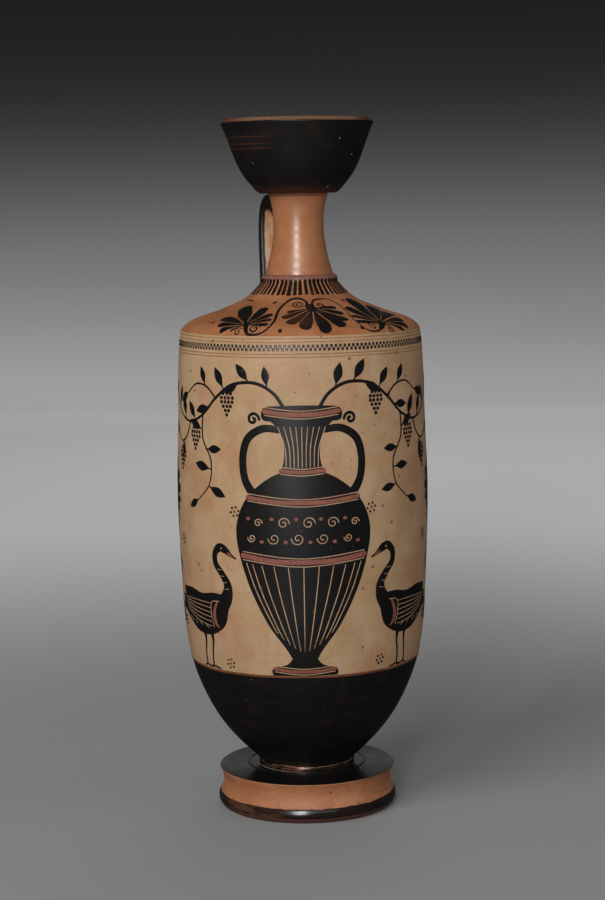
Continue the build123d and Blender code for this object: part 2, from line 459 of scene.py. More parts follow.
    def _drape(self, mesh: bpy.types.Mesh) -> None:
        """Move the drawn points on to the surface, with the slip's thickness.

        Args:
            mesh: the coat as it was drawn flat.
        """
        places = np.zeros(len(mesh.vertices) * 3, np.float32)
        mesh.vertices.foreach_get("co", places)
        places = places.reshape(-1, 3).astype(float)
        lift = self.lift + self.thickness * np.clip(places[:, 2] / self.edge, -1, 1)
        draped = self.surface.place(places[:, 0], places[:, 1], lift)
        mesh.vertices.foreach_set("co", draped.astype(np.float32).ravel())
        mesh.update()

    def _curve_mesh(self, curve: bpy.types.Curve) -> bpy.types.Object:
        """Turn a drawn curve into a closed mesh.

        Args:
            curve: the curve.

        Returns:
            The object with the mesh.
        """
        drawn = bpy.data.objects.new(self.name, curve)
        bpy.context.scene.collection.objects.link(drawn)
        pick(drawn)
        bpy.ops.object.convert(target="MESH")
        drawn = bpy.context.view_layer.objects.active
        with editing():
            bpy.ops.mesh.remove_doubles(threshold=self.WELD)
        return drawn

    def _stroke_mesh(self, strokes: list[list[Sample]]) -> bpy.types.Object:
        """Model strokes as round bars, which the draping flattens.

        Args:
            strokes: the samples of each stroke.

        Returns:
            The bars in one object.
        """
        curve = bpy.data.curves.new(self.name, "CURVE")
        curve.dimensions = "3D"
        curve.twist_mode = "Z_UP"
        curve.bevel_depth = 1.0
        curve.bevel_resolution = 2
        curve.use_fill_caps = True
        for stroke in strokes:
            spline = curve.splines.new("POLY")
            spline.points.add(len(stroke) - 1)
            for knot, (x, y, width) in zip(spline.points, stroke):
                knot.co = (x, y, 0, 1)
                knot.radius = width
        return self._curve_mesh(curve)

    def _shape_mesh(self) -> bpy.types.Object:
        """Model the filled shapes as slabs.

        Returns:
            The slabs in one object.
        """
        curve = bpy.data.curves.new(self.name, "CURVE")
        curve.dimensions = "2D"
        curve.fill_mode = "BOTH"
        curve.extrude = 1.0
        for outline in self.shapes:
            spline = curve.splines.new("POLY")
            spline.points.add(len(outline) - 1)
            for knot, (x, y) in zip(spline.points, outline):
                knot.co = (x, y, 0, 1)
            spline.use_cyclic_u = True
        return self._curve_mesh(curve)

    def _cut(self, drawn: bpy.types.Object) -> bpy.types.Object:
        """Cut a broad mesh small enough to follow the surface.

        Args:
            drawn: the object with the mesh.

        Returns:
            The same object.
        """
        pick(drawn)
        spans = []
        for axis in (0, 1):
            reach = [vertex.co[axis] for vertex in drawn.data.vertices]
            spans.append((min(reach), max(reach)))
        with editing():
            for (low, high), width, square in zip(spans, self.surface.CUTS, ((1, 0, 0), (0, 1, 0))):
                for k in range(math.ceil(low / width), math.floor(high / width) + 1):
                    bpy.ops.mesh.select_all(action="SELECT")
                    bpy.ops.mesh.bisect(plane_co=Vector(square) * (k * width), plane_no=square)
        return drawn

    def _square_mesh(
        self, height: float, count: int, wide: float, tall: float, shift: float
    ) -> bpy.types.Object:
        """Model a row of squares round the flask: one square, repeated.

        Args:
            height: the row's middle height.
            count: number of squares.
            wide: width of a square.
            tall: height of a square.
            shift: how far the row starts from the front, in spacings.

        Returns:
            The unrolled row.
        """
        spacing = 2 * math.pi * DRAWING_RADIUS / count
        deselect()
        bpy.ops.mesh.primitive_cube_add(size=1, location=((shift + 0.25) * spacing, height, 0))
        row = bpy.context.view_layer.objects.active
        with editing():
            bpy.ops.transform.resize(value=(wide, tall, 2 * self.edge))
            bpy.ops.mesh.bevel(offset=self.SQUARE_BEVEL, segments=1)
        bpy.ops.object.transform_apply(location=True, rotation=True, scale=True)
        array = row.modifiers.new("round", "ARRAY")
        array.count = count
        array.use_relative_offset = False
        array.use_constant_offset = True
        array.constant_offset_displace = (spacing, 0, 0)
        bpy.ops.object.modifier_apply(modifier=array.name)
        return row

    def _spot_meshes(self) -> list[bpy.types.Object]:
        """Model round dots: one low button, copied to each place.

        Returns:
            The dots.
        """
        if not self.spots:
            return []
        deselect()
        bpy.ops.mesh.primitive_cylinder_add(vertices=self.SPOT_SIDES, radius=1, depth=2 * self.edge)
        first = bpy.context.view_layer.objects.active
        with editing():
            bpy.ops.mesh.bevel(offset=self.edge * self.SPOT_BEVEL, segments=1)
        made = []
        for x, y, radius in self.spots:
            spot = first.copy()
            spot.data = first.data.copy()
            spot.data.transform(Matrix.Translation((x, y, 0)) @ Matrix.Diagonal((radius, radius, 1, 1)))
            bpy.context.scene.collection.objects.link(spot)
            made.append(spot)
        bpy.data.objects.remove(first)
        return made

    def _ring_mesh(self, height: float, width: float, waver: float, waves: int) -> bpy.types.Object:
        """Model a line round the flask from a torus, unrolled into the drawing.

        Args:
            height: its mean height.
            width: half its width.
            waver: how far it strays up and down.
            waves: how often it strays.

        Returns:
            The unrolled ring.
        """
        deselect()
        bpy.ops.mesh.primitive_torus_add(major_segments=self.RING_STEPS, minor_segments=self.RING_SIDES,
                                         major_radius=DRAWING_RADIUS, minor_radius=width)
        torus = bpy.context.view_layer.objects.active
        for vertex in torus.data.vertices:
            x, y, z = vertex.co
            angle = math.atan2(x, -y)
            stray = waver * (math.sin(waves * angle + height) + 0.5 * math.sin((2 * waves + 1) * angle))
            vertex.co = (angle * DRAWING_RADIUS, height + z + stray, math.hypot(x, y) - DRAWING_RADIUS)
        return torus


# Shader nodes


class Tree:
    """Short way to add and join shader nodes."""

    def __init__(self, tree: bpy.types.NodeTree) -> None:
        """Work on this node tree."""
        self.tree = tree

    def node(self, kind: str, settings: dict[str, Any] | None = None, **inputs: Any) -> bpy.types.Node:
        """Add a node.

        Args:
            kind: the node's type.
            settings: properties of the node.
            **inputs: a value or a socket for each input, with _ for a space in its name.

        Returns:
            The node.
        """
        made = self.tree.nodes.new(kind)
        for name, value in (settings or {}).items():
            setattr(made, name, value)
        for name, value in inputs.items():
            self.join(made.inputs[name.replace("_", " ")], value)
        return made

    def join(self, socket: bpy.types.NodeSocket, value: Any) -> None:
        """Link a socket into an input, or set the input's own value.

        Args:
            socket: the input.
            value: a socket, a tint, a triple or a number.
        """
        if isinstance(value, bpy.types.NodeSocket):
            self.tree.links.new(value, socket)
        elif isinstance(value, Tint):
            socket.default_value = (*value.value, 1.0)
        elif isinstance(value, tuple) and len(value) == 3 and len(socket.default_value) == 4:
            socket.default_value = (*value, 1.0)
        else:
            socket.default_value = value

    def fill(self, made: bpy.types.Node, output: int, values: dict[int, Any]) -> Any:
        """Join values to a node's inputs.

        Args:
            made: the node.
            output: number of the output that is wanted.
            values: a value or a socket for the number of each input.

        Returns:
            The output.
        """
        for number, value in values.items():
            self.join(made.inputs[number], value)
        return made.outputs[output]

    def maths(self, kind: str, *values: Any) -> Any:
        """A Math node of this kind, with its values."""
        return self.fill(self.node("ShaderNodeMath", {"operation": kind}), 0, dict(enumerate(values)))

    def times(self, first: Any, *others: Any) -> Any:
        """Product of two or more values."""
        for other in others:
            first = self.maths("MULTIPLY", first, other)
        return first

    def vector(self, kind: str, *values: Any) -> Any:
        """A Vector Math node of this kind, with its vectors."""
        return self.fill(self.node("ShaderNodeVectorMath", {"operation": kind}), 0, dict(enumerate(values)))

    def scaled(self, places: Any, scale: Any) -> Any:
        """A vector times a number."""
        made = self.node("ShaderNodeVectorMath", {"operation": "SCALE"}, Vector=places, Scale=scale)
        return made.outputs[0]

    def mix(self, share: Any, low: Any, high: Any) -> Any:
        """Colour between two others."""
        return self.fill(self.node("ShaderNodeMix", {"data_type": "RGBA"}), 2, {0: share, 6: low, 7: high})

    def blend(self, share: Any, low: Any, high: Any) -> Any:
        """Number between two others."""
        return self.fill(self.node("ShaderNodeMix"), 0, {0: share, 2: low, 3: high})

    def coats(self, colour: Any, *coats: tuple[Any, Any]) -> Any:
        """Lay further colours over one.

        Args:
            colour: the lowest colour.
            *coats: the share that each next colour covers, and that colour.

        Returns:
            The colour of them all.
        """
        for share, tint in coats:
            colour = self.mix(share, colour, tint)
        return colour

    def ramp(self, value: Any, low: float, high: float, to_low: float = 0.0, to_high: float = 1.0) -> Any:
        """Smooth step of a value between two of its levels.

        Args:
            value: the value.
            low: level at which the step starts.
            high: level at which it ends; lower than low where the step runs the other way.
            to_low: what comes out at the start.
            to_high: what comes out at the end.

        Returns:
            What comes out.
        """
        made = self.node("ShaderNodeMapRange", {"interpolation_type": "SMOOTHSTEP"}, Value=value,
                         From_Min=low, From_Max=high, To_Min=to_low, To_Max=to_high)
        return made.outputs[0]

    def above(self, value: Any, level: float, soft_low: float, soft_high: float) -> Any:
        """Mask of what lies above a level, soft for these widths below and above it."""
        return self.ramp(value, level - soft_low, level + soft_high)

    def below(self, value: Any, level: float, soft_low: float, soft_high: float) -> Any:
        """Mask of what lies below a level, soft for these widths below and above it."""
        return self.ramp(value, level - soft_low, level + soft_high, 1.0, 0.0)

    def places(self) -> Any:
        """Object coordinates in millimetres."""
        return self.scaled(self.node("ShaderNodeTexCoord").outputs["Object"], 1 / MM)

    def split(self, vector: Any) -> Any:
        """The x, y and z of a vector."""
        return self.node("ShaderNodeSeparateXYZ", Vector=vector).outputs

    def noise(self, places: Any, sizes: Point3, detail: float = 2.0, rough: float = 0.5) -> Any:
        """Noise whose features have these sizes along x, y and z, in millimetres."""
        return self.cloud(self.vector("DIVIDE", places, sizes), detail, rough)

    def cloud(self, places: Any, detail: float, rough: float) -> Any:
        """Noise whose features are about one unit of its coordinates wide."""
        made = self.node("ShaderNodeTexNoise", Vector=places, Scale=1.0, Detail=detail, Roughness=rough)
        return made.outputs[0]

    def stray(self, places: Any, sizes: Point3, detail: float, rough: float) -> Any:
        """Noise about zero, by which an edge strays."""
        return self.maths("SUBTRACT", self.noise(places, sizes, detail, rough), 0.5)


def group(name: str, inputs: dict[str, float], outputs: Sequence[str]) -> tuple[Tree, Any, Any]:
    """Start a node group whose inputs and outputs are values.

    Args:
        name: the group's name.
        inputs: its inputs with their usual values.
        outputs: its outputs.

    Returns:
        Its tree, and its input and output nodes.
    """
    made = bpy.data.node_groups.new(name, "ShaderNodeTree")
    for label, value in inputs.items():
        socket = made.interface.new_socket(name=label, in_out="INPUT", socket_type="NodeSocketFloat")
        socket.default_value = value
    for label in outputs:
        made.interface.new_socket(name=label, in_out="OUTPUT", socket_type="NodeSocketFloat")
    tree = Tree(made)
    return tree, tree.node("NodeGroupInput"), tree.node("NodeGroupOutput")


def wheel_marks() -> bpy.types.NodeTree:
    """Fine rings that the potter's wheel and the brush leave in clay and slip.

    Returns:
        The node group, made once.
    """
    if "wheel_marks" in bpy.data.node_groups:
        return bpy.data.node_groups["wheel_marks"]
    ring_length = 70.0
    streak_length = 26.0
    streak_stretch = 0.4
    tree, given, put = group("wheel_marks", {"Spacing": 1.6}, ["Height", "Streak"])
    split = tree.split(tree.places())
    up = tree.maths("DIVIDE", split[2], given.outputs["Spacing"])
    for output, length, level, detail, rough in (
        ("Height", ring_length, up, 3.0, 0.6),
        ("Streak", streak_length, tree.times(up, streak_stretch), 4.0, 0.55),
    ):
        x, y = (tree.maths("DIVIDE", split[axis], length) for axis in (0, 1))
        flat = tree.node("ShaderNodeCombineXYZ", X=x, Y=y, Z=level).outputs[0]
        tree.join(put.inputs[output], tree.cloud(flat, detail, rough))
    return tree.tree


def mottle() -> bpy.types.NodeTree:
    """Uneven firing, from broad clouds to a fine grain.

    Returns:
        The node group, made once.
    """
    if "mottle" in bpy.data.node_groups:
        return bpy.data.node_groups["mottle"]
    tree, given, put = group("mottle", {"Size": 14.0}, ["Cloud", "Grain"])
    places = tree.places()
    scaled = tree.scaled(places, tree.maths("DIVIDE", 1.0, given.outputs["Size"]))
    tree.join(put.inputs["Cloud"], tree.ramp(tree.cloud(scaled, 4.0, 0.6), 0.35, 0.68))
    tree.join(put.inputs["Grain"], tree.noise(places, (0.5, 0.5, 0.5), 3.0, 0.7))
    return tree.tree


def flecks() -> bpy.types.NodeTree:
    """Scattered small specks: pits, grit and chips in the slip.

    Returns:
        The node group, made once.
    """
    if "flecks" in bpy.data.node_groups:
        return bpy.data.node_groups["flecks"]
    tree, given, put = group("flecks", {"Size": 0.22, "Share": 0.08, "Spacing": 2.2}, ["Mask"])
    scaled = tree.scaled(tree.places(), tree.maths("DIVIDE", 1.0, given.outputs["Spacing"]))
    cells = tree.node("ShaderNodeTexVoronoi", Vector=scaled, Scale=1.0)
    chance = tree.node("ShaderNodeSeparateColor", Color=cells.outputs["Color"])
    near = tree.maths("LESS_THAN", cells.outputs["Distance"], given.outputs["Size"])
    kept = tree.maths("LESS_THAN", chance.outputs[0], given.outputs["Share"])
    tree.join(put.inputs["Mask"], tree.times(near, kept))
    return tree.tree


# Finishes


class Finish:
    """What all finishes share: a Principled surface with a colour, a roughness, a gloss and a relief."""

    name: str
    gloss: float
    relief: float

    def material(self) -> bpy.types.Material:
        """The finish's material, made once.

        Returns:
            The material.
        """
        made = bpy.data.materials.get(self.name)
        if made is None:
            made = bpy.data.materials.new(self.name)
            made.use_nodes = True
            made.node_tree.nodes.clear()
            tree = Tree(made.node_tree)
            shader = tree.node("ShaderNodeBsdfPrincipled")
            out = tree.node("ShaderNodeOutputMaterial")
            tree.join(out.inputs["Surface"], shader.outputs[0])
            colour, roughness, height = self.looks(tree)
            tree.join(shader.inputs["Base Color"], colour)
            tree.join(shader.inputs["Roughness"], roughness)
            shader.inputs["Specular IOR Level"].default_value = self.gloss
            if self.relief:
                bump = tree.node("ShaderNodeBump", Height=height, Distance=self.relief * MM, Strength=1.0)
                tree.join(shader.inputs["Normal"], bump.outputs[0])
        return made

    def looks(self, tree: Tree) -> Looks:
        """Colour, roughness and relief of the surface, which each finish builds in the tree."""
        raise NotImplementedError

    @staticmethod
    def effect(tree: Tree, made: bpy.types.NodeTree, **inputs: float) -> Any:
        """Place a node group.

        Args:
            tree: the material's nodes.
            made: the group.
            **inputs: values of its inputs.

        Returns:
            Its outputs.
        """
        placed = tree.node("ShaderNodeGroup", {"node_tree": made})
        for name, value in inputs.items():
            placed.inputs[name].default_value = value
        return placed.outputs

    @staticmethod
    def specks(tree: Tree, size: float, share: float, spacing: float, strength: float) -> Any:
        """Mask of small specks, from their size and their number in cells of this spacing."""
        placed = Finish.effect(tree, flecks(), Size=size, Share=share, Spacing=spacing)
        return tree.times(placed["Mask"], strength)

    @staticmethod
    def radius(tree: Tree, split: Any, middle: Point = (0.0, 0.0)) -> Any:
        """Distance from an upright line, which is the flask's axis unless another one is given.

        Args:
            tree: the material's nodes.
            split: x, y and z.
            middle: x and y of the line.

        Returns:
            The distance.
        """
        squares = []
        for axis in (0, 1):
            away = tree.maths("SUBTRACT", split[axis], middle[axis]) if middle[axis] else split[axis]
            squares.append(tree.maths("POWER", away, 2.0))
        return tree.maths("SQRT", tree.maths("ADD", *squares))

    @staticmethod
    def along(tree: Tree, split: Any, x: float, y: float) -> Any:
        """How far a place lies in a level direction, given by its x and y."""
        return tree.maths("ADD", tree.times(split[0], x), tree.times(split[1], y))

    @staticmethod
    def sector(tree: Tree, split: Any, middle_deg: float, half_deg: float, soft_deg: float) -> Any:
        """One side of the flask, seen from its axis.

        Args:
            tree: the material's nodes.
            split: x, y and z.
            middle_deg: the side's middle, to the right of the front.
            half_deg: half the angle that it covers.
            soft_deg: angle over which it fades out.

        Returns:
            A mask.
        """
        middle = math.radians(middle_deg)
        aligned = Finish.along(tree, split, math.sin(middle), -math.cos(middle))
        cosine = tree.maths("DIVIDE", aligned, Finish.radius(tree, split))
        edges = [math.cos(math.radians(angle)) for angle in (half_deg + soft_deg, half_deg)]
        return tree.ramp(cosine, *edges)

    @staticmethod
    def band(tree: Tree, level: Any, low: float, high: float, soft: float = 0.15) -> Any:
        """Mask of the heights between two levels."""
        return tree.times(tree.above(level, low, soft, soft), tree.below(level, high, soft, soft))


@dataclass(frozen=True)
class FiredClay(Finish):
    """Burnished orange clay, as the wheel and the kiln left it."""

    name: str = "fired_clay"
    base: Tint = Tint.CLAY
    deep: Tint = Tint.CLAY_DEEP
    light: Tint = Tint.CLAY_LIGHT
    roughness: float = 0.34
    ring_spacing: float = 1.6
    relief: float = 0.05
    streaks: float = 0.7
    gloss: float = 0.5

    def colour(self, tree: Tree) -> tuple[Any, Any]:
        """Colour and wheel marks of the clay.

        Args:
            tree: the material's nodes.

        Returns:
            The colour, and the height of the wheel marks.
        """
        marks = self.effect(tree, wheel_marks(), Spacing=self.ring_spacing)
        clouds = self.effect(tree, mottle(), Size=13.0)
        tone = tree.coats(
            self.base,
            (tree.ramp(marks["Streak"], 0.42, 0.66, 0.0, self.streaks), self.deep),
            (tree.ramp(clouds["Cloud"], 0.45, 1.0, 0.0, 0.5), self.light),
            (tree.ramp(clouds["Grain"], 0.52, 0.8, 0.0, 0.35), self.deep),
            (self.specks(tree, 0.16, 0.05, 1.9, 0.6), Tint.UMBER),
        )
        return tone, marks["Height"]

    def looks(self, tree: Tree) -> Looks:
        """Build the clay's nodes.

        Args:
            tree: the material's nodes.

        Returns:
            The colour, the roughness and the relief.
        """
        tone, height = self.colour(tree)
        rough = tree.ramp(height, 0.3, 0.7, self.roughness - 0.05, self.roughness + 0.12)
        return tone, rough, height


@dataclass(frozen=True)
class NeckFinish(FiredClay):
    """Burnished neck, with a band of painted shade right under the mouth."""

    name: str = "neck_clay"
    base: Tint = Tint.NECK
    deep: Tint = Tint.NECK_DEEP
    light: Tint = Tint.NECK_LIGHT
    roughness: float = 0.3
    ring_spacing: float = 2.6
    relief: float = 0.005
    streaks: float = 0.16
    painted_shade_low: float = 293.6

    def colour(self, tree: Tree) -> tuple[Any, Any]:
        """Colour and wheel marks of the clay.

        Args:
            tree: the material's nodes.

        Returns:
            The colour, and the height of the wheel marks.
        """
        tone, height = super().colour(tree)
        # Painted shade: darkens the top of the neck, right under the mouth.
        edge = tree.ramp(tree.split(tree.places())[2], self.painted_shade_low - 0.4, self.painted_shade_low + 0.4, 0.0, 0.75)
        return tree.mix(edge, tone, Tint.EDGE), height


@dataclass(frozen=True)
class BlackSlip(Finish):
    """Lustrous black slip, thinner and browner in some strokes."""

    name: str = "black_slip"
    browning: float = 0.1
    roughness: float = 0.36
    relief: float = 0.03
    gloss: float = 0.28

    def looks(self, tree: Tree) -> Looks:
        """Build the slip's nodes.

        Args:
            tree: the material's nodes.

        Returns:
            The colour, the roughness and the height of the brush marks.
        """
        marks = self.effect(tree, wheel_marks(), Spacing=1.1)
        clouds = self.effect(tree, mottle(), Size=9.0)
        tone = tree.coats(
            Tint.BLACK,
            (tree.ramp(marks["Streak"], 0.56, 0.72, 0.0, self.browning), Tint.BROWN),
            (tree.ramp(clouds["Cloud"], 0.55, 1.0, 0.0, self.browning), Tint.BROWN),
            (self.specks(tree, 0.12, 0.035, 2.6, 0.5), Tint.CLAY),
        )
        rough = tree.ramp(clouds["Grain"], 0.3, 0.75, self.roughness, self.roughness + 0.14)
        return tone, rough, marks["Height"]


@dataclass(frozen=True)
class OrnamentSlip(BlackSlip):
    """Black slip of the palmettes, fired brown in one place."""

    name: str = "ornament_slip"
    brown_place: Point = (-18.5, -43.5)
    brown_inner: float = 6.0
    brown_outer: float = 11.0
    brown_share: float = 0.3

    def looks(self, tree: Tree) -> Looks:
        """Build the slip's nodes.

        Args:
            tree: the material's nodes.

        Returns:
            The colour, the roughness and the height of the brush marks.
        """
        tone, rough, height = super().looks(tree)
        away = self.radius(tree, tree.split(tree.places()), self.brown_place)
        brown = tree.ramp(away, self.brown_inner, self.brown_outer, self.brown_share, 0.0)
        return tree.mix(brown, tone, Tint.BROWN), rough, height


@dataclass(frozen=True)
class ChequerFinish(BlackSlip):
    """Black squares that are rubbed grey on one side of the front."""

    name: str = "chequer_slip"
    browning: float = 0.3
    relief: float = 0.02
    gloss: float = 0.3
    fade_x: float = -30.0
    fade_width: float = 24.0

    def looks(self, tree: Tree) -> Looks:
        """Build the slip's nodes.

        Args:
            tree: the material's nodes.

        Returns:
            The colour, the roughness and the height of the brush marks.
        """
        tone, rough, height = super().looks(tree)
        places = tree.places()
        split = tree.split(places)
        away = tree.maths("ABSOLUTE", tree.maths("SUBTRACT", split[0], self.fade_x))
        worn = tree.ramp(away, self.fade_width * 0.4, self.fade_width, 0.6, 0.12)
        front = tree.maths("LESS_THAN", split[1], 0.0)
        grain = tree.ramp(tree.noise(places, (0.8, 0.8, 0.8), 4.0, 0.7), 0.4, 0.65)
        return tree.mix(tree.times(worn, front, grain), tone, Tint.FADED), rough, height


@dataclass(frozen=True)
class MattSlip(Finish):
    """Matt slip in one colour, worn to a second one."""

    name: str = "red_slip"
    base: Tint = Tint.RED
    worn: Tint = Tint.CLAY_DEEP
    wear: float = 0.4
    roughness: float = 0.62
    rubbed_roughness: float = 0.8
    relief: float = 0.02
    gloss: float = 0.3

    def looks(self, tree: Tree) -> Looks:
        """Build the slip's nodes.

        Args:
            tree: the material's nodes.

        Returns:
            The colour, the roughness and the relief.
        """
        marks = self.effect(tree, wheel_marks(), Spacing=0.8)
        clouds = self.effect(tree, mottle(), Size=5.0)
        worn = tree.ramp(clouds["Cloud"], 0.3, 0.95, 0.0, self.wear)
        grain = tree.ramp(clouds["Grain"], 0.45, 0.75, 0.0, self.wear)
        tone = tree.coats(self.base, (worn, self.worn), (grain, self.worn))
        return tone, tree.ramp(grain, 0.0, 1.0, self.roughness, self.rubbed_roughness), marks["Height"]


@dataclass(frozen=True)
class BodyFinish(Finish):
    """Cream slip above the ground line and black slip below it."""

    name: str = "body_slips"
    black_top: float = 73.9
    relief: float = 0.03
    gloss: float = 0.26

    def looks(self, tree: Tree) -> Looks:
        """Build the nodes of both slips.

        Args:
            tree: the material's nodes.

        Returns:
            The colour, the roughness and the relief.
        """
        places = tree.places()
        marks = self.effect(tree, wheel_marks(), Spacing=1.3)
        clouds = self.effect(tree, mottle(), Size=22.0)
        fibre = tree.ramp(tree.noise(places, (0.5, 0.5, 6.0), 3.0, 0.6), 0.5, 0.75, 0.0, 0.14)
        warm = tree.ramp(tree.noise(places, (18.0, 18.0, 24.0), 5.0, 0.6), 0.46, 0.68, 0.0, 0.8)
        ochre = tree.ramp(tree.noise(places, (30.0, 30.0, 40.0), 4.0, 0.6), 0.5, 0.3, 0.0, 0.6)
        blots = tree.ramp(tree.noise(places, (2.6, 2.6, 3.4), 4.0, 0.7), 0.54, 0.74, 0.0, 0.4)
        cream = tree.coats(
            Tint.CREAM,
            (clouds["Cloud"], Tint.CREAM_LIGHT),
            (warm, Tint.CREAM_WARM),
            (ochre, Tint.OCHRE),
            (tree.ramp(marks["Streak"], 0.45, 0.75, 0.0, 0.3), Tint.CREAM_WARM),
            (blots, Tint.CREAM_LIGHT),
            (fibre, Tint.UMBER),
            (self.cracks(tree, places), Tint.UMBER),
            (self.specks(tree, 0.13, 0.11, 3.1, 0.8), Tint.UMBER),
            (self.specks(tree, 0.16, 0.12, 5.3, 0.8), Tint.UMBER),
        )
        black, black_rough, black_height = BlackSlip(browning=0.12).looks(tree)
        below = tree.maths("LESS_THAN", tree.split(places)[2], self.black_top)
        rough = tree.blend(below, tree.ramp(clouds["Grain"], 0.3, 0.7, 0.5, 0.66), black_rough)
        relief = tree.maths("ADD", marks["Height"], tree.times(fibre, -0.5))
        relief = tree.maths("ADD", relief, tree.times(black_height, 0.2))
        return tree.mix(below, cream, black), rough, relief

    @staticmethod
    def cracks(tree: Tree, places: Any) -> Any:
        """Hair cracks of the cream slip, longer up and down than across.

        Args:
            tree: the material's nodes.
            places: object coordinates in millimetres.

        Returns:
            How strongly a crack shows.
        """
        cell = (3.2, 3.2, 9.0)
        bend = (0.8, 0.8, 1.5)
        bent = tree.node("ShaderNodeTexNoise", Vector=places, Scale=0.4, Detail=2.0).outputs["Color"]
        cells = tree.vector("DIVIDE", tree.vector("MULTIPLY_ADD", bent, bend, places), cell)
        edges = tree.node("ShaderNodeTexVoronoi", {"feature": "DISTANCE_TO_EDGE"}, Vector=cells, Scale=1.0)
        return tree.ramp(edges.outputs[0], 0.0, 0.03, 0.16, 0.0)


@dataclass(frozen=True)
class FootFinish(FiredClay):
    """Orange side between a black lower step and a black top, and bare clay underneath."""

    name: str = "foot_slips"
    streaks: float = 0.45
    relief: float = 0.04
    gloss: float = 0.45
    torus_top: float = 6.9
    torus_low: float = 2.4
    brown_foot: tuple[float, float] = (2.8, 3.2)
    side_top: float = 18.75
    red_line: tuple[float, float] = (1.5, 2.1)
    rest_line: float = 0.7
    hollow_radius: float = 33.4
    # Pale lines along the grooves of the top, a painted highlight, and the side where they show most.
    groove_highlights: tuple[Point, ...] = ((24.0, 0.95), (27.3, 0.5))
    groove_highlight_deg: float = -58.0
    brown_deg: float = -62.0
    # Side where painted shade darkens the top of the orange side, under the foot's top edge.
    rim_shade_deg: float = 48.0

    def looks(self, tree: Tree) -> Looks:
        """Build the nodes of the clay and of the black on it.

        Args:
            tree: the material's nodes.

        Returns:
            The colour, the roughness and the relief.
        """
        clay, height = self.colour(tree)
        places = tree.places()
        split = tree.split(places)
        level = split[2]
        outside = tree.ramp(self.radius(tree, split), self.hollow_radius + 0.1, self.hollow_radius + 0.5)
        wavy = tree.maths("ADD", level, tree.times(tree.stray(places, (5.0, 5.0, 2.0), 5.0, 0.75), 1.6))
        torus = tree.times(self.band(tree, wavy, self.torus_low, self.torus_top, 0.12), outside)
        covered = tree.maths("MAXIMUM", torus, tree.above(level, self.side_top, 0.1, 0.1))
        blush = tree.ramp(tree.noise(places, (2.6, 2.6, 1.8), 5.0, 0.7), 0.48, 0.68, 0.0, 0.6)
        # Painted shade: the top of the orange side is darker under the foot's top edge, on the shaded side.
        rim_shade = tree.times(self.band(tree, level, 17.6, 20.0, 0.5),
                          self.sector(tree, split, self.rim_shade_deg, 22.0, 24.0), 0.6)
        rust = tree.maths("MAXIMUM", self.band(tree, level, *self.red_line, 0.2),
                          tree.below(level, self.rest_line, 0.0, 0.3))
        tone = tree.coats(
            clay,
            (blush, Tint.CLAY_DEEP),
            (rim_shade, Tint.UMBER),
            (tree.times(outside, tree.ramp(level, *self.brown_foot, 1.0, 0.0)), Tint.BROWN),
            (tree.times(rust, outside, 0.85), Tint.RUST),
            (covered, self.black(tree, places, split, torus)),
        )
        shine = tree.ramp(tree.noise(places, (7.0, 7.0, 2.0), 3.0, 0.6), 0.3, 0.7, 0.17, 0.23)
        return tone, tree.blend(covered, tree.ramp(height, 0.3, 0.7, 0.55, 0.66), shine), height

    def black(self, tree: Tree, places: Any, split: Any, torus: Any) -> Any:
        """Colour of the black parts: worn and misfired places, and painted highlights on the top's grooves.

        Args:
            tree: the material's nodes.
            places: object coordinates in millimetres.
            split: x, y and z.
            torus: mask of the lower step.

        Returns:
            The colour.
        """
        patch = tree.ramp(tree.noise(places, (9.0, 9.0, 2.0), 4.0, 0.65), 0.45, 0.66, 0.05, 0.6)
        black = tree.coats(
            BlackSlip().looks(tree)[0],
            (tree.ramp(tree.noise(places, (1.6, 1.6, 1.2), 4.0, 0.7), 0.58, 0.68, 0.0, 0.4), Tint.BROWN),
            (tree.times(torus, 0.05), Tint.PURPLE),
            (tree.times(self.sector(tree, split, self.brown_deg, 6.0, 26.0), torus, patch), Tint.MISFIRED),
        )
        far = self.radius(tree, split)
        broken = tree.ramp(tree.noise(places, (3.0, 3.0, 3.0), 3.0, 0.6), 0.3, 0.5)
        # Painted highlight: the pale groove lines show most on the side where the lamps fall.
        side = tree.times(self.sector(tree, split, self.groove_highlight_deg, 12.0, 34.0), 0.9)
        shown = tree.times(broken, tree.maths("ADD", side, 0.08), tree.ramp(split[2], 18.0, 18.8))
        for radius, strength in self.groove_highlights:
            away = tree.maths("ABSOLUTE", tree.maths("SUBTRACT", far, radius))
            line = tree.times(tree.ramp(away, 0.2, 0.55, strength, 0.0), shown)
            black = tree.mix(line, black, Tint.PALE_FLECK)
        return black


@dataclass(frozen=True)
class FilletFinish(FiredClay):
    """Black ring with broken lines, rubbed down to the clay on one side."""

    name: str = "fillet_slips"
    relief: float = 0.04
    gloss: float = 0.4
    line_heights: tuple[float, ...] = (20.9, 22.1)
    rubbed_deg: float = -38.0

    def looks(self, tree: Tree) -> Looks:
        """Build the nodes of the black, the lines and the clay.

        Args:
            tree: the material's nodes.

        Returns:
            The colour, the roughness and the relief.
        """
        places = tree.places()
        split = tree.split(places)
        black, _, height = BlackSlip(browning=0.5).looks(tree)
        clay, _ = self.colour(tree)
        broken = tree.noise(places, (5.0, 5.0, 0.7), 4.0, 0.65)
        lines = tree.maths("MAXIMUM", *[self.band(tree, split[2], middle - 0.1, middle + 0.1, 0.12)
                                        for middle in self.line_heights])
        lines = tree.times(lines, tree.ramp(broken, 0.42, 0.56, 0.0, 0.85))
        rubbed = tree.times(self.sector(tree, split, self.rubbed_deg, 6.0, 16.0),
                            tree.ramp(broken, 0.42, 0.55, 0.0, 0.75))
        tone = tree.coats(black, (lines, Tint.CREAM_WARM), (rubbed, clay))
        return tone, tree.ramp(broken, 0.3, 0.7, 0.2, 0.34), height


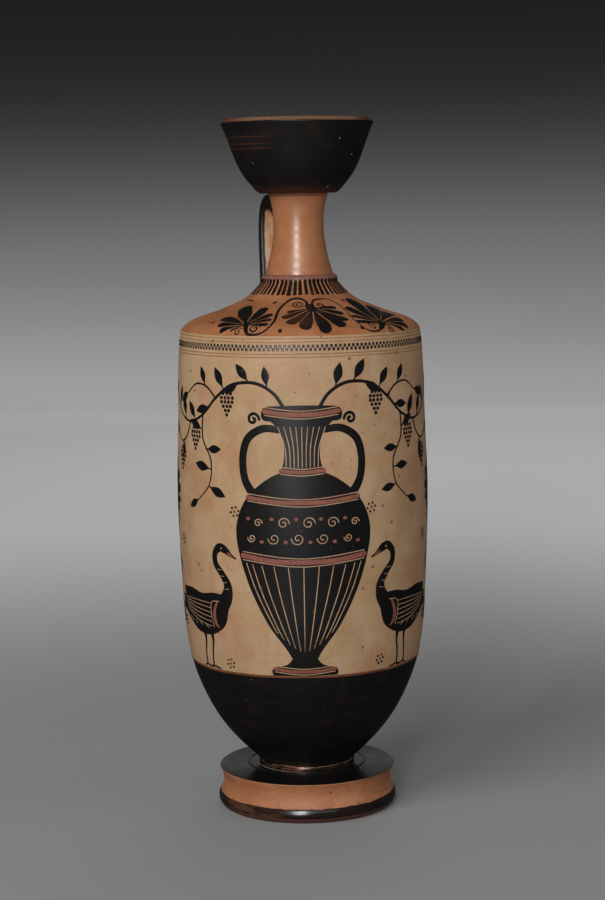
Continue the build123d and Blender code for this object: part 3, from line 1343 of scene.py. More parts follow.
@dataclass(frozen=True)
class MouthFinish(BlackSlip):
    """Black mouth with a bare lip, and red lines where a brush ran dry."""

    name: str = "mouth_slips"
    roughness: float = 0.42
    gloss: float = 0.2
    lip_low: float = 328.3
    lip_inner: float = 30.4
    lip_roughness: float = 0.5
    streak_heights: tuple[float, ...] = (321.2, 318.0, 315.9)
    streak_half: float = 0.3
    stain: tuple[float, float] = (315.5, 323.5)
    streak_deg: float = -96.0
    # Middle of the lip's front side, which carries painted light.
    front_deg: float = -22.0
    brown_foot: tuple[float, float] = (295.2, 299.8)

    def looks(self, tree: Tree) -> Looks:
        """Build the nodes of the black, the streaks and the lip.

        Args:
            tree: the material's nodes.

        Returns:
            The colour, the roughness and the relief.
        """
        black, rough, height = super().looks(tree)
        places = tree.places()
        split = tree.split(places)
        level = split[2]
        stray = tree.stray(places, (9.0, 9.0, 3.0), 4.0, 0.6)
        lip = tree.times(
            tree.above(tree.maths("ADD", level, stray), self.lip_low, 0.1, 0.15),
            tree.above(tree.maths("ADD", self.radius(tree, split), stray), self.lip_inner, 0.2, 0.2),
        )
        # Painted light: the lip is lighter and browner on its front side, where the lamps fall on it.
        lip_tone = tree.coats(
            Tint.LIP_RED,
            (self.sector(tree, split, self.front_deg, 38.0, 26.0), Tint.LIP),
            (tree.ramp(tree.noise(places, (3.0, 3.0, 1.0), 4.0, 0.65), 0.5, 0.7, 0.0, 0.45), Tint.CLAY),
        )
        streaks = tree.times(self.band(tree, level, *self.stain, 1.0), 0.16)
        for middle in self.streak_heights:
            line = self.band(tree, level, middle - self.streak_half, middle + self.streak_half, 0.3)
            streaks = tree.maths("MAXIMUM", streaks, line)
        dry = tree.ramp(tree.noise(places, (14.0, 14.0, 0.8), 4.0, 0.6), 0.4, 0.55, 0.5, 1.0)
        side = self.sector(tree, split, self.streak_deg, 38.0, 22.0)
        low = tree.ramp(tree.maths("ADD", level, tree.times(stray, 3.0)), *self.brown_foot, 0.7, 0.0)
        tone = tree.coats(
            black,
            (tree.times(streaks, side, dry, 0.85), Tint.BROWN),
            (low, Tint.BROWN),
            (self.specks(tree, 0.09, 0.02, 6.0, 0.5), Tint.PALE_FLECK),
            (lip, lip_tone),
        )
        return tone, tree.blend(lip, rough, self.lip_roughness), height


@dataclass(frozen=True)
class HandleFinish(BlackSlip):
    """Black strap whose inner face stays bare on its upright part."""

    name: str = "handle_slips"
    relief: float = 0.05
    gloss: float = 0.35
    bare_top: float = 287.0
    bare_half_width: float = 6.0

    def looks(self, tree: Tree) -> Looks:
        """Build the nodes of the black and of the bare clay.

        Args:
            tree: the material's nodes.

        Returns:
            The colour, the roughness and the relief.
        """
        black, rough, height = super().looks(tree)
        clay, _ = FiredClay().colour(tree)
        places = tree.places()
        pale = tree.ramp(tree.noise(places, (4.0, 4.0, 9.0), 4.0, 0.6), 0.38, 0.6, 0.15, 0.8)
        split = tree.split(places)
        facing = tree.split(tree.node("ShaderNodeTexCoord").outputs["Normal"])
        stray = tree.stray(places, (3.0, 3.0, 8.0), 3.0, 0.6)
        across_it = tree.maths("ADD", tree.maths("ABSOLUTE", split[0]), stray)
        up = tree.maths("ADD", split[2], tree.times(stray, 5.0))
        bare = tree.times(
            tree.ramp(facing[1], -0.75, -0.45, 1.0, 0.0),
            tree.below(across_it, self.bare_half_width, 0.3, 0.2),
            tree.below(up, self.bare_top, 2.0, 1.0),
        )
        return tree.mix(bare, black, tree.mix(pale, clay, Tint.CREAM_LIGHT)), rough, height


@dataclass(frozen=True)
class RingFinish(FiredClay):
    """Neck ring, washed with purple-red above its middle, with a darker line at the wash's edge."""

    name: str = "ring_slips"
    base: Tint = Tint.NECK
    relief: float = 0.04
    gloss: float = 0.35
    wash_low: float = 254.9
    tilt: float = 0.022
    tilt_deg: float = 68.0

    def looks(self, tree: Tree) -> Looks:
        """Build the nodes of the clay and the wash.

        Args:
            tree: the material's nodes.

        Returns:
            The colour, the roughness and the relief.
        """
        clay, height = self.colour(tree)
        places = tree.places()
        split = tree.split(places)
        turn = math.radians(self.tilt_deg)
        lean = self.along(tree, split, -self.tilt * math.sin(turn), self.tilt * math.cos(turn))
        stray = tree.times(tree.stray(places, (6.0, 6.0, 2.0), 3.0, 0.6), 0.4)
        level = tree.maths("ADD", tree.maths("ADD", split[2], lean), stray)
        uneven = tree.ramp(tree.noise(places, (4.0, 4.0, 1.0), 4.0, 0.65), 0.3, 0.6, 0.6, 0.95)
        edge = self.band(tree, level, self.wash_low - 0.1, self.wash_low + 0.15, 0.12)
        tone = tree.coats(
            clay,
            (tree.times(tree.above(level, self.wash_low, 0.1, 0.15), uneven), Tint.PURPLE),
            (tree.times(edge, 0.7), Tint.UMBER),
        )
        return tone, tree.ramp(uneven, 0.3, 0.9, 0.42, 0.6), height


@dataclass(frozen=True)
class DressedNode:
    """A solid of the frame that keeps its shape and gets a finish."""

    node: str
    finish: Finish

    def dress(self) -> None:
        """Put the finish on the node's own material slot."""
        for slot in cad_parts[self.node].material_slots:
            slot.material = self.finish.material()
        LOG.info("node %s: %s", self.node, self.finish.name)


# Motifs


@dataclass(frozen=True)
class Volute:
    """Curl of a palmette: where its middle is from the heart, and how it winds."""

    centre: Point
    reach: float
    start_deg: float
    turns: float
    half: float = 0.32
    lead: tuple[Point, ...] = ()


@dataclass(frozen=True)
class Palmette:
    """Fan of petals on a heart with volutes.

    Directions are in degrees, clockwise from the motif's own y, and lengths are from the heart.
    """

    petals: tuple[tuple[float, float], ...]
    volutes: tuple[Volute, ...]
    heart: tuple[Sample, ...]
    gap: float = 0.5

    WIDE_SHARE = 0.135
    WIDEST_DEG = 34.0
    ALONG_SHARES = (0.08, 0.3, 0.55, 0.76, 0.9)

    def draw(self, black: Coat, thin: Coat, pose: Pose) -> None:
        """Draw the whole palmette.

        Args:
            black: the slip of the petals and the heart.
            thin: the slip of the volutes.
            pose: the heart's place.
        """
        self.fan(black, pose)
        black.stroke(self.heart, pose, ends=0.5)
        for volute in self.volutes:
            thin.spiral(volute.centre, volute.reach, volute.half, volute.start_deg, volute.turns, pose,
                        volute.lead)

    def fan(self, coat: Coat, pose: Pose) -> None:
        """Draw the petals: narrow at the heart, broad and round at their ends.

        Args:
            coat: the slip of the petals.
            pose: the heart's place.
        """
        directions = [direction for direction, _ in self.petals]
        for k, (direction, length) in enumerate(self.petals):
            near = [abs(directions[j] - direction) for j in (k - 1, k + 1) if 0 <= j < len(directions)]
            widen = math.tan(math.radians(min(sum(near) / len(near), self.WIDEST_DEG) / 2))
            line = []
            for share in self.ALONG_SHARES:
                far = length * share
                half = min(max(0.2, far * widen - self.gap / 2), self.WIDE_SHARE * length)
                line.append((*self.ray(direction, far), half * (0.97 if share > 0.8 else 1.0)))
            coat.stroke(line, pose, ends=0.75)

    @staticmethod
    def ray(direction_deg: float, length: float) -> Point:
        """Point at a direction and distance from the heart."""
        direction = math.radians(direction_deg)
        return length * math.sin(direction), length * math.cos(direction)

    @staticmethod
    def even(
        length: float, petals_a_side: int, spread_deg: float, shorter: float, gap: float = 0.45
    ) -> "Palmette":
        """Regular palmette that stands upright.

        Args:
            length: length of the middle petal.
            petals_a_side: number of petals on each side of it.
            spread_deg: direction of the outermost petal.
            shorter: how much shorter the outermost petal is, as a share.
            gap: width left between petals.

        Returns:
            The palmette.
        """
        fan = []
        for k in range(-petals_a_side, petals_a_side + 1):
            share = k / petals_a_side
            fan.append((share * spread_deg, length * (1 - shorter * abs(share) ** 1.3)))
        size = length * 0.09
        curls = tuple(
            Volute(Palmette.ray(side * (spread_deg + 28), length * 0.26), length * 0.1, -90 + side * 40,
                   side * 1.5, lead=((0.0, -size * 1.5),))
            for side in (-1, 1)
        )
        heart = ((0.0, size * 0.9, size * 0.6), (0.0, 0.0, size), (0.0, -size, size),
                 (0.0, -size * 1.7, size * 0.75))
        return Palmette(tuple(fan), curls, heart, gap)


def at(angle_deg: float, radius: float) -> Point:
    """Place on the shoulder at an angle to the right of the front, seen from above."""
    angle = math.radians(angle_deg)
    return radius * math.sin(angle), -radius * math.cos(angle)


def around(points: Sequence[Sample]) -> list[Sample]:
    """Line on the shoulder from angles, radii and half widths."""
    return [(*at(angle, radius), width) for angle, radius, width in points]


def across(angle_deg: float) -> float:
    """Place in a wall's drawing of an angle to the right of the front."""
    return math.radians(angle_deg) * DRAWING_RADIUS


# Ornament and painted field


@dataclass
class ShoulderOrnament:
    """Tongues under the neck, and a chain of palmettes round the shoulder."""

    tongues: int = 52
    tongue_inner: float = 17.7
    tongue_outer: float = 23.4
    tongue_half: float = 0.8
    ring_top: float = 255.0
    ring_low: float = 253.4

    HANGING = Palmette(
        petals=((-87, 12.5), (-104, 17), (-126, 20.5), (-148, 22), (-174, 23), (-198, 22), (-216, 19),
                (-240, 14.5), (-266, 11.5)),
        volutes=(
            Volute((-4.7, 5.4), 3.2, -45, -1.75, 0.34, ((-1.5, 2.6),)),
            Volute((4.4, 2.2), 2.0, -60, 0.95, 0.5, ((3.6, -1.2),)),
        ),
        heart=((-0.4, 3.2, 1.9), (-0.6, 0.4, 2.4), (-0.9, -2.4, 2.2)),
    )
    LEFT = Palmette(
        petals=((-68, 7), (-50, 12.5), (-31, 15.5), (-9, 20.5), (21, 25.0), (51, 19), (77, 15), (101, 12.5),
                (130, 11)),
        volutes=(
            Volute((2.4, -5.7), 2.7, -15, 1.35, 0.4),
            Volute((-4.0, -0.9), 1.9, -5, 1.2, 0.26),
        ),
        heart=((1.7, 3.8, 0.7), (0.2, -0.6, 1.25), (-1.0, -3.4, 1.0), (-1.2, -5.4, 0.5)),
    )
    RIGHT = Palmette(
        petals=((-93, 12.5), (-60, 13.5), (-32, 19.5), (-7, 28), (15, 26.5), (33, 25), (52, 20.5),
                (66, 18.5), (79, 13.5)),
        volutes=(
            Volute((-5.4, -3.2), 2.3, 55, 1.3, 0.3, ((-1.5, -0.6),)),
            Volute((3.9, -2.0), 1.9, 110, -1.3, 0.34, ((1.2, -0.4),)),
        ),
        heart=((0.4, 1.8, 1.3), (0.0, -0.4, 1.8), (-1.0, -2.8, 1.0), (-2.2, -3.8, 0.5)),
    )

    def build(self) -> None:
        """Model the tongues and the chain."""
        roof = Roof("shoulder", self.tongue_inner - 0.2, 59.0)
        self.tongue_rows(roof)
        chain = Coat("shoulder_palmettes", roof, OrnamentSlip().material, Slot.GLOSS)
        thin = Coat("shoulder_tendrils", roof, BlackSlip("thin_slip", 0.9, 0.4).material, Slot.GLOSS)
        self.front(chain, thin)
        self.back(chain, thin)
        chain.lay()
        thin.lay()

    def tongue_rows(self, roof: Roof) -> None:
        """Draw the tongues, which start on the neck ring and end on the shoulder.

        Args:
            roof: the shoulder's top.
        """
        slip = BlackSlip("tongue_slip", 0.35, 0.3).material
        below = Coat("shoulder_tongues", roof, slip, Slot.GLOSS)
        above = Coat("ring_tongues", Wall("neck_ring", 253.0, 257.0, 0.25), slip, Slot.GLOSS)
        widen = DRAWING_RADIUS / self.tongue_inner
        dice = random.Random(7)
        for k in range(self.tongues):
            angle = 360.0 * k / self.tongues + dice.uniform(-0.5, 0.5)
            outer = self.tongue_outer + dice.uniform(-0.35, 0.3)
            half = self.tongue_half * dice.uniform(0.88, 1.1)
            below.stroke(
                around([(angle, self.tongue_inner, half), (angle, 20.5, half * 1.1),
                        (angle, outer - 0.3, half * 1.22)]), ends=0.35
            )
            x = across((angle + 180) % 360 - 180)
            side = half * widen
            corners = ((x - side, self.ring_low), (x + side, self.ring_low), (x + side, self.ring_top),
                       (x - side, self.ring_top))
            above.shape([(corners[j], corners[(j + 1) % 4]) for j in range(4)], step=9.0)
        below.lay()
        above.lay()

    def front(self, chain: Coat, thin: Coat) -> None:
        """Draw the part of the chain that faces the front.

        Args:
            chain: the black slip.
            thin: the thinned slip of fine lines.
        """
        for motif, angle, radius in (
            (self.HANGING, -12, 33.5), (self.LEFT, -51, 51.7), (self.RIGHT, 23, 52.6)
        ):
            motif.draw(chain, thin, Pose(*at(angle, radius)))
        left = [(-16.3, 31, 0.8), (-15.5, 28, 0.7), (-18, 26.3, 0.62), (-24, 25.1, 0.6), (-32, 26.1, 0.66),
                (-36.7, 30.2, 0.74), (-38, 37, 0.74), (-36.4, 48, 0.64), (-38, 54, 0.5), (-41, 56.1, 0.42),
                (-44.5, 56.6, 0.4), (-47.6, 56.3, 0.5)]
        right = [(-10.8, 31, 0.7), (-10.2, 28.2, 0.62), (-7.5, 26.4, 0.6), (-1.8, 25.8, 0.5), (4, 25.9, 0.34),
                 (9, 26.3, 0.32), (13.2, 30, 0.32), (12.8, 38, 0.3), (9.2, 48.2, 0.3), (9.8, 54, 0.32),
                 (13, 56.1, 0.32), (17.5, 56.2, 0.32), (20, 55.4, 0.5)]
        chain.stroke(around(left))
        chain.stroke(around(right))
        thin.stroke(around([(-74.0, 27.3, 0.36), (-80.0, 26.9, 0.4), (-89.0, 27.0, 0.3)]))
        for angle, radius in ((-46.5, 28), (-31.5, 55), (26, 27.4), (9.3, 54.6)):
            chain.dot(*at(angle, radius), 0.85)
        thin.dot(*at(-75.0, 50.5), 0.8)

    def back(self, chain: Coat, thin: Coat) -> None:
        """Draw plain tendrils with a bud on each side of the handle's foot.

        Args:
            chain: the black slip.
            thin: the thinned slip of fine lines.
        """
        bud = Palmette.even(15.0, 2, 66, 0.35)
        for side in (-1, 1):
            line = [(side * 121, 27.0), (side * 128, 26.2), (side * 136, 28.5), (side * 140, 36.0),
                    (side * 139, 46.0), (side * 143, 53.5), (side * 150, 56.3), (side * 158, 54.0)]
            chain.stroke(around([(angle, radius, 0.6) for angle, radius in line]))
            chain.spiral(at(side * 155, 52.5), 3.0, 0.5, 90, side * 1.5)
            bud.draw(chain, thin, Pose(*at(side * 127, 51.0), turn_deg=side * 127))
            chain.dot(*at(side * 150, 42), 0.85)


@dataclass
class BodyBands:
    """Lines and chequers round the top of the body, and the ground line."""

    thin_heights: tuple[float, ...] = (229.9, 228.3, 222.9, 221.5)
    thin_half: float = 0.25
    thin_waver: float = 0.06
    chequer_heights: tuple[float, float] = (226.45, 224.95)
    squares: int = 170
    square_width: float = 1.35
    square_height: float = 1.42
    ground_height: float = 73.5
    ground_half: float = 0.6
    ground_waver: float = 0.12

    def build(self, wall: Wall) -> None:
        """Model every band.

        Args:
            wall: the body's outside.
        """
        brown = MattSlip("brown_line", Tint.DILUTE, Tint.CREAM, 0.45)
        lines = Coat("rim_lines", wall, brown.material, Slot.CLAY, thickness=0.04)
        for height in self.thin_heights:
            lines.ring(height, self.thin_half, self.thin_waver)
        lines.lay()
        chequers = Coat("rim_chequers", wall, ChequerFinish().material, Slot.GLOSS)
        for k, height in enumerate(self.chequer_heights):
            chequers.squares.append((height, self.squares, self.square_width, self.square_height, k * 0.5))
        chequers.lay()
        red_brown = MattSlip("ground_slip", Tint.EDGE, Tint.BROWN, 0.5)
        ground = Coat("ground_line", wall, red_brown.material, Slot.CLAY, lift=0.06)
        ground.ring(self.ground_height, self.ground_half, self.ground_waver)
        ground.lay()


@dataclass
class Slips:
    """The three coats of one painted motif: black, red over it, and scratched lines."""

    name: str
    wall: Wall

    def __post_init__(self) -> None:
        """Start the coats."""
        black = BlackSlip("field_slip", 0.07, gloss=0.2)
        scratched = MattSlip("scratched_line", Tint.SCRATCH, Tint.CLAY_DEEP, 0.4)
        self.black = Coat(f"{self.name}_black", self.wall, black.material, Slot.GLOSS)
        self.red = Coat(f"{self.name}_red", self.wall, MattSlip().material, Slot.CLAY, 0.08, 0.04)
        self.lines = Coat(f"{self.name}_lines", self.wall, scratched.material, Slot.PALE, 0.115, 0.035, 0.06)

    def lay(self) -> None:
        """Lay the coats that have anything in them."""
        for coat in (self.black, self.red, self.lines):
            if coat.strokes or coat.shapes or coat.spots:
                coat.lay()


@dataclass
class Jar:
    """Painted two-handled jar, with flutes and bands scratched through the black."""

    height: float = 106.0
    flutes: int = 11
    neck_lines: int = 9
    flute_reach: float = 24.4
    flute_spread: float = 0.8

    def draw(self, slips: Slips, pose: Pose) -> None:
        """Draw the jar in its three slips.

        Args:
            slips: where it is drawn.
            pose: the place of the middle of its foot.
        """
        side = [
            [(0, 0), (7, 0), (13.6, 0)],
            [(13.6, 0), (14.2, 1.5), (12.6, 3.2), (7.5, 4.6), (5.2, 7.0)],
            [(5.2, 7.0), (8.0, 11.5), (15.0, 21.0), (22.5, 36.0), (27.0, 52.0), (26.6, 62.0), (22.0, 71.0),
             (14.5, 77.5), (8.6, 80.5)],
            [(8.6, 80.5), (7.2, 85.0), (7.0, 90.0), (8.4, 96.0), (12.2, 100.2)],
            [(12.2, 100.2), (15.2, 100.6), (16.2, 102.6), (15.4, 105.2), (13.6, 106.0)],
            [(13.6, 106.0), (7.0, 106.3), (0, 106.4)],
        ]
        mirrored = [[(-x, y) for x, y in run[::-1]] for run in side[::-1]]
        slips.black.shape(side + mirrored, pose)
        for way in (-1, 1):
            slips.black.stroke(
                [(way * 9.0, 97.0, 1.3), (way * 15.5, 97.4, 1.5), (way * 21.8, 93.5, 1.6),
                 (way * 24.0, 86.0, 1.6), (way * 23.0, 77.5, 1.6), (way * 19.0, 71.0, 1.9)], pose
            )
            slips.black.spiral((way * 19.5, 101.0), 2.6, 0.6, 90 + way * 90, -way * 1.2, pose)
        self.bands(slips, pose)
        self.flute_lines(slips, pose)
        self.frieze(slips, pose)

    def bands(self, slips: Slips, pose: Pose) -> None:
        """Draw the red bands and the lines beside them.

        Args:
            slips: where they are drawn.
            pose: the place of the middle of the jar's foot.
        """
        for height, half_width, half in (
            (103.2, 14.6, 1.0), (80.8, 8.4, 0.8), (46.2, 24.6, 1.1), (69.4, 22.0, 0.9), (2.0, 12.8, 0.7)
        ):
            dip = half_width * 0.06
            slips.red.stroke(
                [(-half_width, height + dip, half), (-half_width / 2, height - dip * 0.2, half),
                 (0, height - dip * 0.5, half), (half_width / 2, height - dip * 0.2, half),
                 (half_width, height + dip, half)], pose, step=2.5
            )
            for off in (-half - 0.5, half + 0.5):
                slips.lines.stroke(
                    [(-half_width, height + dip + off, 0.17), (0, height - dip * 0.6 + off, 0.17),
                     (half_width, height + dip + off, 0.17)], pose, step=3.0
                )

    def flute_lines(self, slips: Slips, pose: Pose) -> None:
        """Draw the flutes that rise from the foot, and the shorter lines on the neck.

        Args:
            slips: where they are drawn.
            pose: the place of the middle of the jar's foot.
        """
        for k in range(self.flutes):
            share = (k / (self.flutes - 1)) * 2 - 1
            top = self.flute_reach * math.sin(share * math.pi / 2 * self.flute_spread)
            slips.lines.stroke(
                [(top * (0.29 + 0.18 * share ** 2), 10.0 + 7.5 * share ** 2, 0.1),
                 (top * 0.52, 19.0, 0.18), (top * 0.82, 33.0, 0.2),
                 (top, 43.4 + 1.4 * share ** 2, 0.17)], pose, step=3.0
            )
        for k in range(self.neck_lines):
            x = (k - self.neck_lines // 2) * 1.55
            slips.lines.stroke([(x, 82.6, 0.15), (x * 1.06, 90.0, 0.17), (x * 1.5, 98.0, 0.15)], pose,
                               step=3.0)

    def frieze(self, slips: Slips, pose: Pose) -> None:
        """Draw a row of scratched scrolls round the belly.

        Args:
            slips: where it is drawn.
            pose: the place of the middle of the jar's foot.
        """
        for k in range(-2, 3):
            x = k * 9.6
            squeeze = math.cos(k * 0.42)
            for way in (-1, 1):
                slips.lines.spiral((x + way * 2.1 * squeeze, 57.8 + way * 3.0), 2.6 * squeeze, 0.19,
                                   90 - way * 90, 1.35, pose)
            slips.red.dot(x - 2.7, 62.4, 0.7, pose)
            slips.red.dot(x + 2.7, 53.4, 0.7, pose)


@dataclass
class Swan:
    """Painted water bird, with a red bar and scratched feathers on its wing."""

    wing_feathers: int = 6
    breast_feathers: int = 5
    throat_feathers: int = 4

    def draw(self, slips: Slips, pose: Pose) -> None:
        """Draw the bird in its three slips.

        Args:
            slips: where it is drawn.
            pose: the place of its feet; it faces the drawing's right.
        """
        slips.black.shape(
            [
                [(17.5, 31.0), (14.5, 22.5), (5.0, 17.4), (-6.0, 17.6), (-15.0, 21.5), (-23.0, 25.5),
                 (-31.0, 27.0)],
                [(-31.0, 27.0), (-26.5, 30.6), (-29.0, 33.6)],
                [(-29.0, 33.6), (-23.5, 33.4), (-24.5, 37.6)],
                [(-24.5, 37.6), (-13.0, 38.6), (-2.0, 37.2), (7.5, 38.4), (14.0, 37.4), (17.5, 31.0)],
            ], pose,
        )
        slips.black.stroke(
            [(12.0, 31.5, 5.0), (16.6, 37.0, 3.7), (17.6, 43.0, 2.4), (14.2, 48.6, 1.9),
             (10.4, 53.2, 1.7), (10.2, 58.2, 1.7), (13.4, 61.4, 2.1), (17.0, 60.4, 1.9),
             (20.2, 58.2, 0.9), (23.2, 56.6, 0.4)], pose, step=0.8,
        )
        slips.red.stroke([(18.8, 59.0, 0.55), (21.4, 57.4, 0.35)], pose)
        slips.lines.dot(14.6, 61.0, 0.42, pose)
        for x in (-1.5, 4.5):
            slips.black.stroke(
                [(x, 18.6, 1.5), (x + 0.6, 14.0, 0.75), (x - 0.8, 8.0, 0.6), (x - 1.8, 1.2, 0.55)], pose
            )
            for toe in (5.6, 3.6, -2.6):
                slips.black.stroke([(x - 1.8, 1.4, 0.5), (x - 1.8 + toe * 0.5, 0.9, 0.45),
                                    (x - 1.8 + toe, 0.35, 0.3)], pose)
        self.wing(slips, pose)

    def wing(self, slips: Slips, pose: Pose) -> None:
        """Draw the folded wing.

        Args:
            slips: where it is drawn.
            pose: the place of the bird's feet.
        """
        slips.red.stroke(
            [(9.8, 33.8, 0.7), (7.8, 29.0, 1.1), (8.2, 24.0, 1.0), (10.4, 21.8, 0.6)], pose
        )
        slips.lines.stroke(
            [(11.6, 34.6, 0.17), (6.0, 33.6, 0.2), (5.4, 27.6, 0.2), (7.0, 21.6, 0.17)], pose
        )
        for k in range(self.wing_feathers):
            y = 33.6 - k * 2.3
            slips.lines.stroke(
                [(5.0, y - 0.6, 0.16), (-6.0, y - 0.4 + k * 0.3, 0.17), (-15.0, y - 0.6 + k * 0.9, 0.16),
                 (-22.5 + k * 0.8, y - 1.0 + k * 1.1, 0.14)], pose, step=2.0
            )
        for k in range(self.breast_feathers):
            slips.lines.stroke([(2.6 - k * 5.2, 20.4 + k * 0.5, 0.15), (0.2 - k * 5.2, 21.8 + k * 0.6, 0.15)],
                               pose, step=1.0)
        for k in range(self.throat_feathers):
            slips.lines.stroke([(18.4 - k * 1.4, 41.4 + k * 3.0, 0.14),
                                (16.0 - k * 1.5, 41.0 + k * 3.2, 0.14)], pose, step=1.0)


@dataclass
class Vine:
    """Climbing stem with lance leaves and dotted grapes."""

    stem_half: float = 0.8
    leaf_size: float = 1.4

    def draw(self, black: Coat, red: Coat, pose: Pose, dice: random.Random) -> None:
        """Draw one shoot that climbs out of the jar and spreads to the right.

        Args:
            black: coat of the stem, the leaves and the grapes.
            red: coat of the touches of red.
            pose: the middle of the jar's mouth.
            dice: the draws of its small irregularities.
        """
        stem = [(5.0, -1.0), (10.0, 6.0), (19.0, 10.5), (31.0, 9.5), (41.0, 3.0), (50.0, -5.0), (61.0, -9.0),
                (72.0, -6.0), (79.0, 1.0)]
        black.stroke([(x, y, self.stem_half * (1.1 - i * 0.06)) for i, (x, y) in enumerate(stem)], pose,
                     step=1.4)
        branches = (
            ((41.0, 3.0), (47.0, 8.0), (55.0, 9.0), (62.0, 5.0)),
            ((50.0, -5.0), (50.0, -16.0), (44.0, -26.0), (45.0, -37.0), (52.0, -44.0)),
            ((61.0, -9.0), (65.0, -16.0), (71.0, -19.0), (76.0, -17.0)),
        )
        for line in branches:
            black.stroke([(x, y, 0.55 - 0.06 * i) for i, (x, y) in enumerate(line)], pose, step=1.4)
        for x, y, turn in ((13.0, 8.4, 78), (22.0, 10.8, 50), (27.0, 10.6, -35), (36.0, 7.4, 60),
                           (45.0, -1.0, -10), (48.0, 8.4, 70), (62.5, 4.8, -20),
                           (50.4, -12.0, 25), (47.6, -21.0, 185), (44.2, -30.0, 5), (45.6, -38.0, 200),
                           (52.6, -44.5, -25), (56.0, -8.0, 60), (66.0, -8.0, 75), (67.4, -17.6, -80),
                           (76.4, -16.8, 30), (75.5, -2.8, 110), (79.2, 1.4, 45)):
            size = self.leaf_size * dice.uniform(0.88, 1.08)
            self.leaf(black, x, y, turn + dice.uniform(-9, 9), size, pose)
        for x, y in ((34.0, 8.0), (56.0, -9.0), (70.0, -19.5)):
            self.grapes(black, red, x, y - 2.0, dice, pose)

    @staticmethod
    def leaf(coat: Coat, x: float, y: float, turn_deg: float, size: float, pose: Pose) -> None:
        """Draw a lance leaf.

        Args:
            coat: the slip of the leaf.
            x: the start of its stalk.
            y: the height of that start.
            turn_deg: the way that it points.
            size: its scale.
            pose: the place of the vine.
        """
        turn = math.radians(turn_deg)
        ahead = (math.cos(turn), math.sin(turn))
        line = [(0.0, 0.25), (1.2, 0.3), (2.4, 0.95), (4.0, 1.5), (5.8, 1.15), (7.4, 0.25)]
        coat.stroke([(x + ahead[0] * far * size, y + ahead[1] * far * size, half * size)
                     for far, half in line], pose, step=0.8)

    @staticmethod
    def grapes(black: Coat, red: Coat, x: float, y: float, dice: random.Random, pose: Pose) -> None:
        """Draw a hanging bunch of grapes, dot by dot.

        Args:
            black: coat of the stalk and the grapes.
            red: coat of the red grape.
            x: the middle of the bunch.
            y: the height of its top.
            dice: the draws of the small irregularities.
            pose: the place of the vine.
        """
        black.stroke([(x, y + 2.6, 0.3), (x + 0.3, y, 0.3)], pose)
        for row, count in enumerate((3, 4, 4, 3, 2, 1)):
            for k in range(count):
                black.spots.append(
                    (*pose.put(x + (k - (count - 1) / 2) * 2.1 + dice.uniform(-0.15, 0.15),
                               y - 0.6 - row * 1.95), 0.9 * pose.scale)
                )
        red.spots.append((*pose.put(x, y - 2.6), 0.7 * pose.scale))


@dataclass
class BlossomTree:
    """Upright stem with volutes at some heights, each with its reach, and a palmette at its top."""

    whorls: tuple[Point, ...] = ((20.0, 9.5), (44.0, 8.5), (66.0, 7.0))

    def draw(self, slips: Slips, pose: Pose) -> None:
        """Draw the tree in its slips.

        Args:
            slips: where it is drawn.
            pose: the place of its root.
        """
        slips.black.stroke([(0, 0.5, 1.4), (0, 20.0, 1.0), (0, 46.0, 0.9), (0, 72.0, 0.8)], pose, step=3.0)
        slips.black.stroke([(-5.0, 0.8, 0.7), (0, 1.6, 1.2), (5.0, 0.8, 0.7)], pose)
        for level, reach in self.whorls:
            for way in (-1, 1):
                slips.black.stroke(
                    [(way * 0.4, level - 9.0, 0.6), (way * 2.6, level - 3.0, 0.55),
                     (way * reach * 0.75, level - 1.6, 0.5)], pose
                )
                slips.black.spiral((way * reach, level + 2.0), 3.7, 0.45, -100 if way < 0 else -80,
                                   way * 1.5, pose)
            slips.red.stroke([(-1.6, level - 7.6, 0.6), (1.6, level - 7.6, 0.6)], pose)
            bud = Palmette.even(10.5, 2, 50, 0.3)
            bud.fan(slips.black, Pose(*pose.put(0, level + 1.0), pose.turn_deg, pose.scale))
        crown = Palmette.even(24.0, 5, 100, 0.45, gap=0.6)
        crown.draw(slips.black, slips.black, Pose(*pose.put(0, 75.0), pose.turn_deg, pose.scale))
        slips.red.dot(0, 75.4, 1.2, pose)


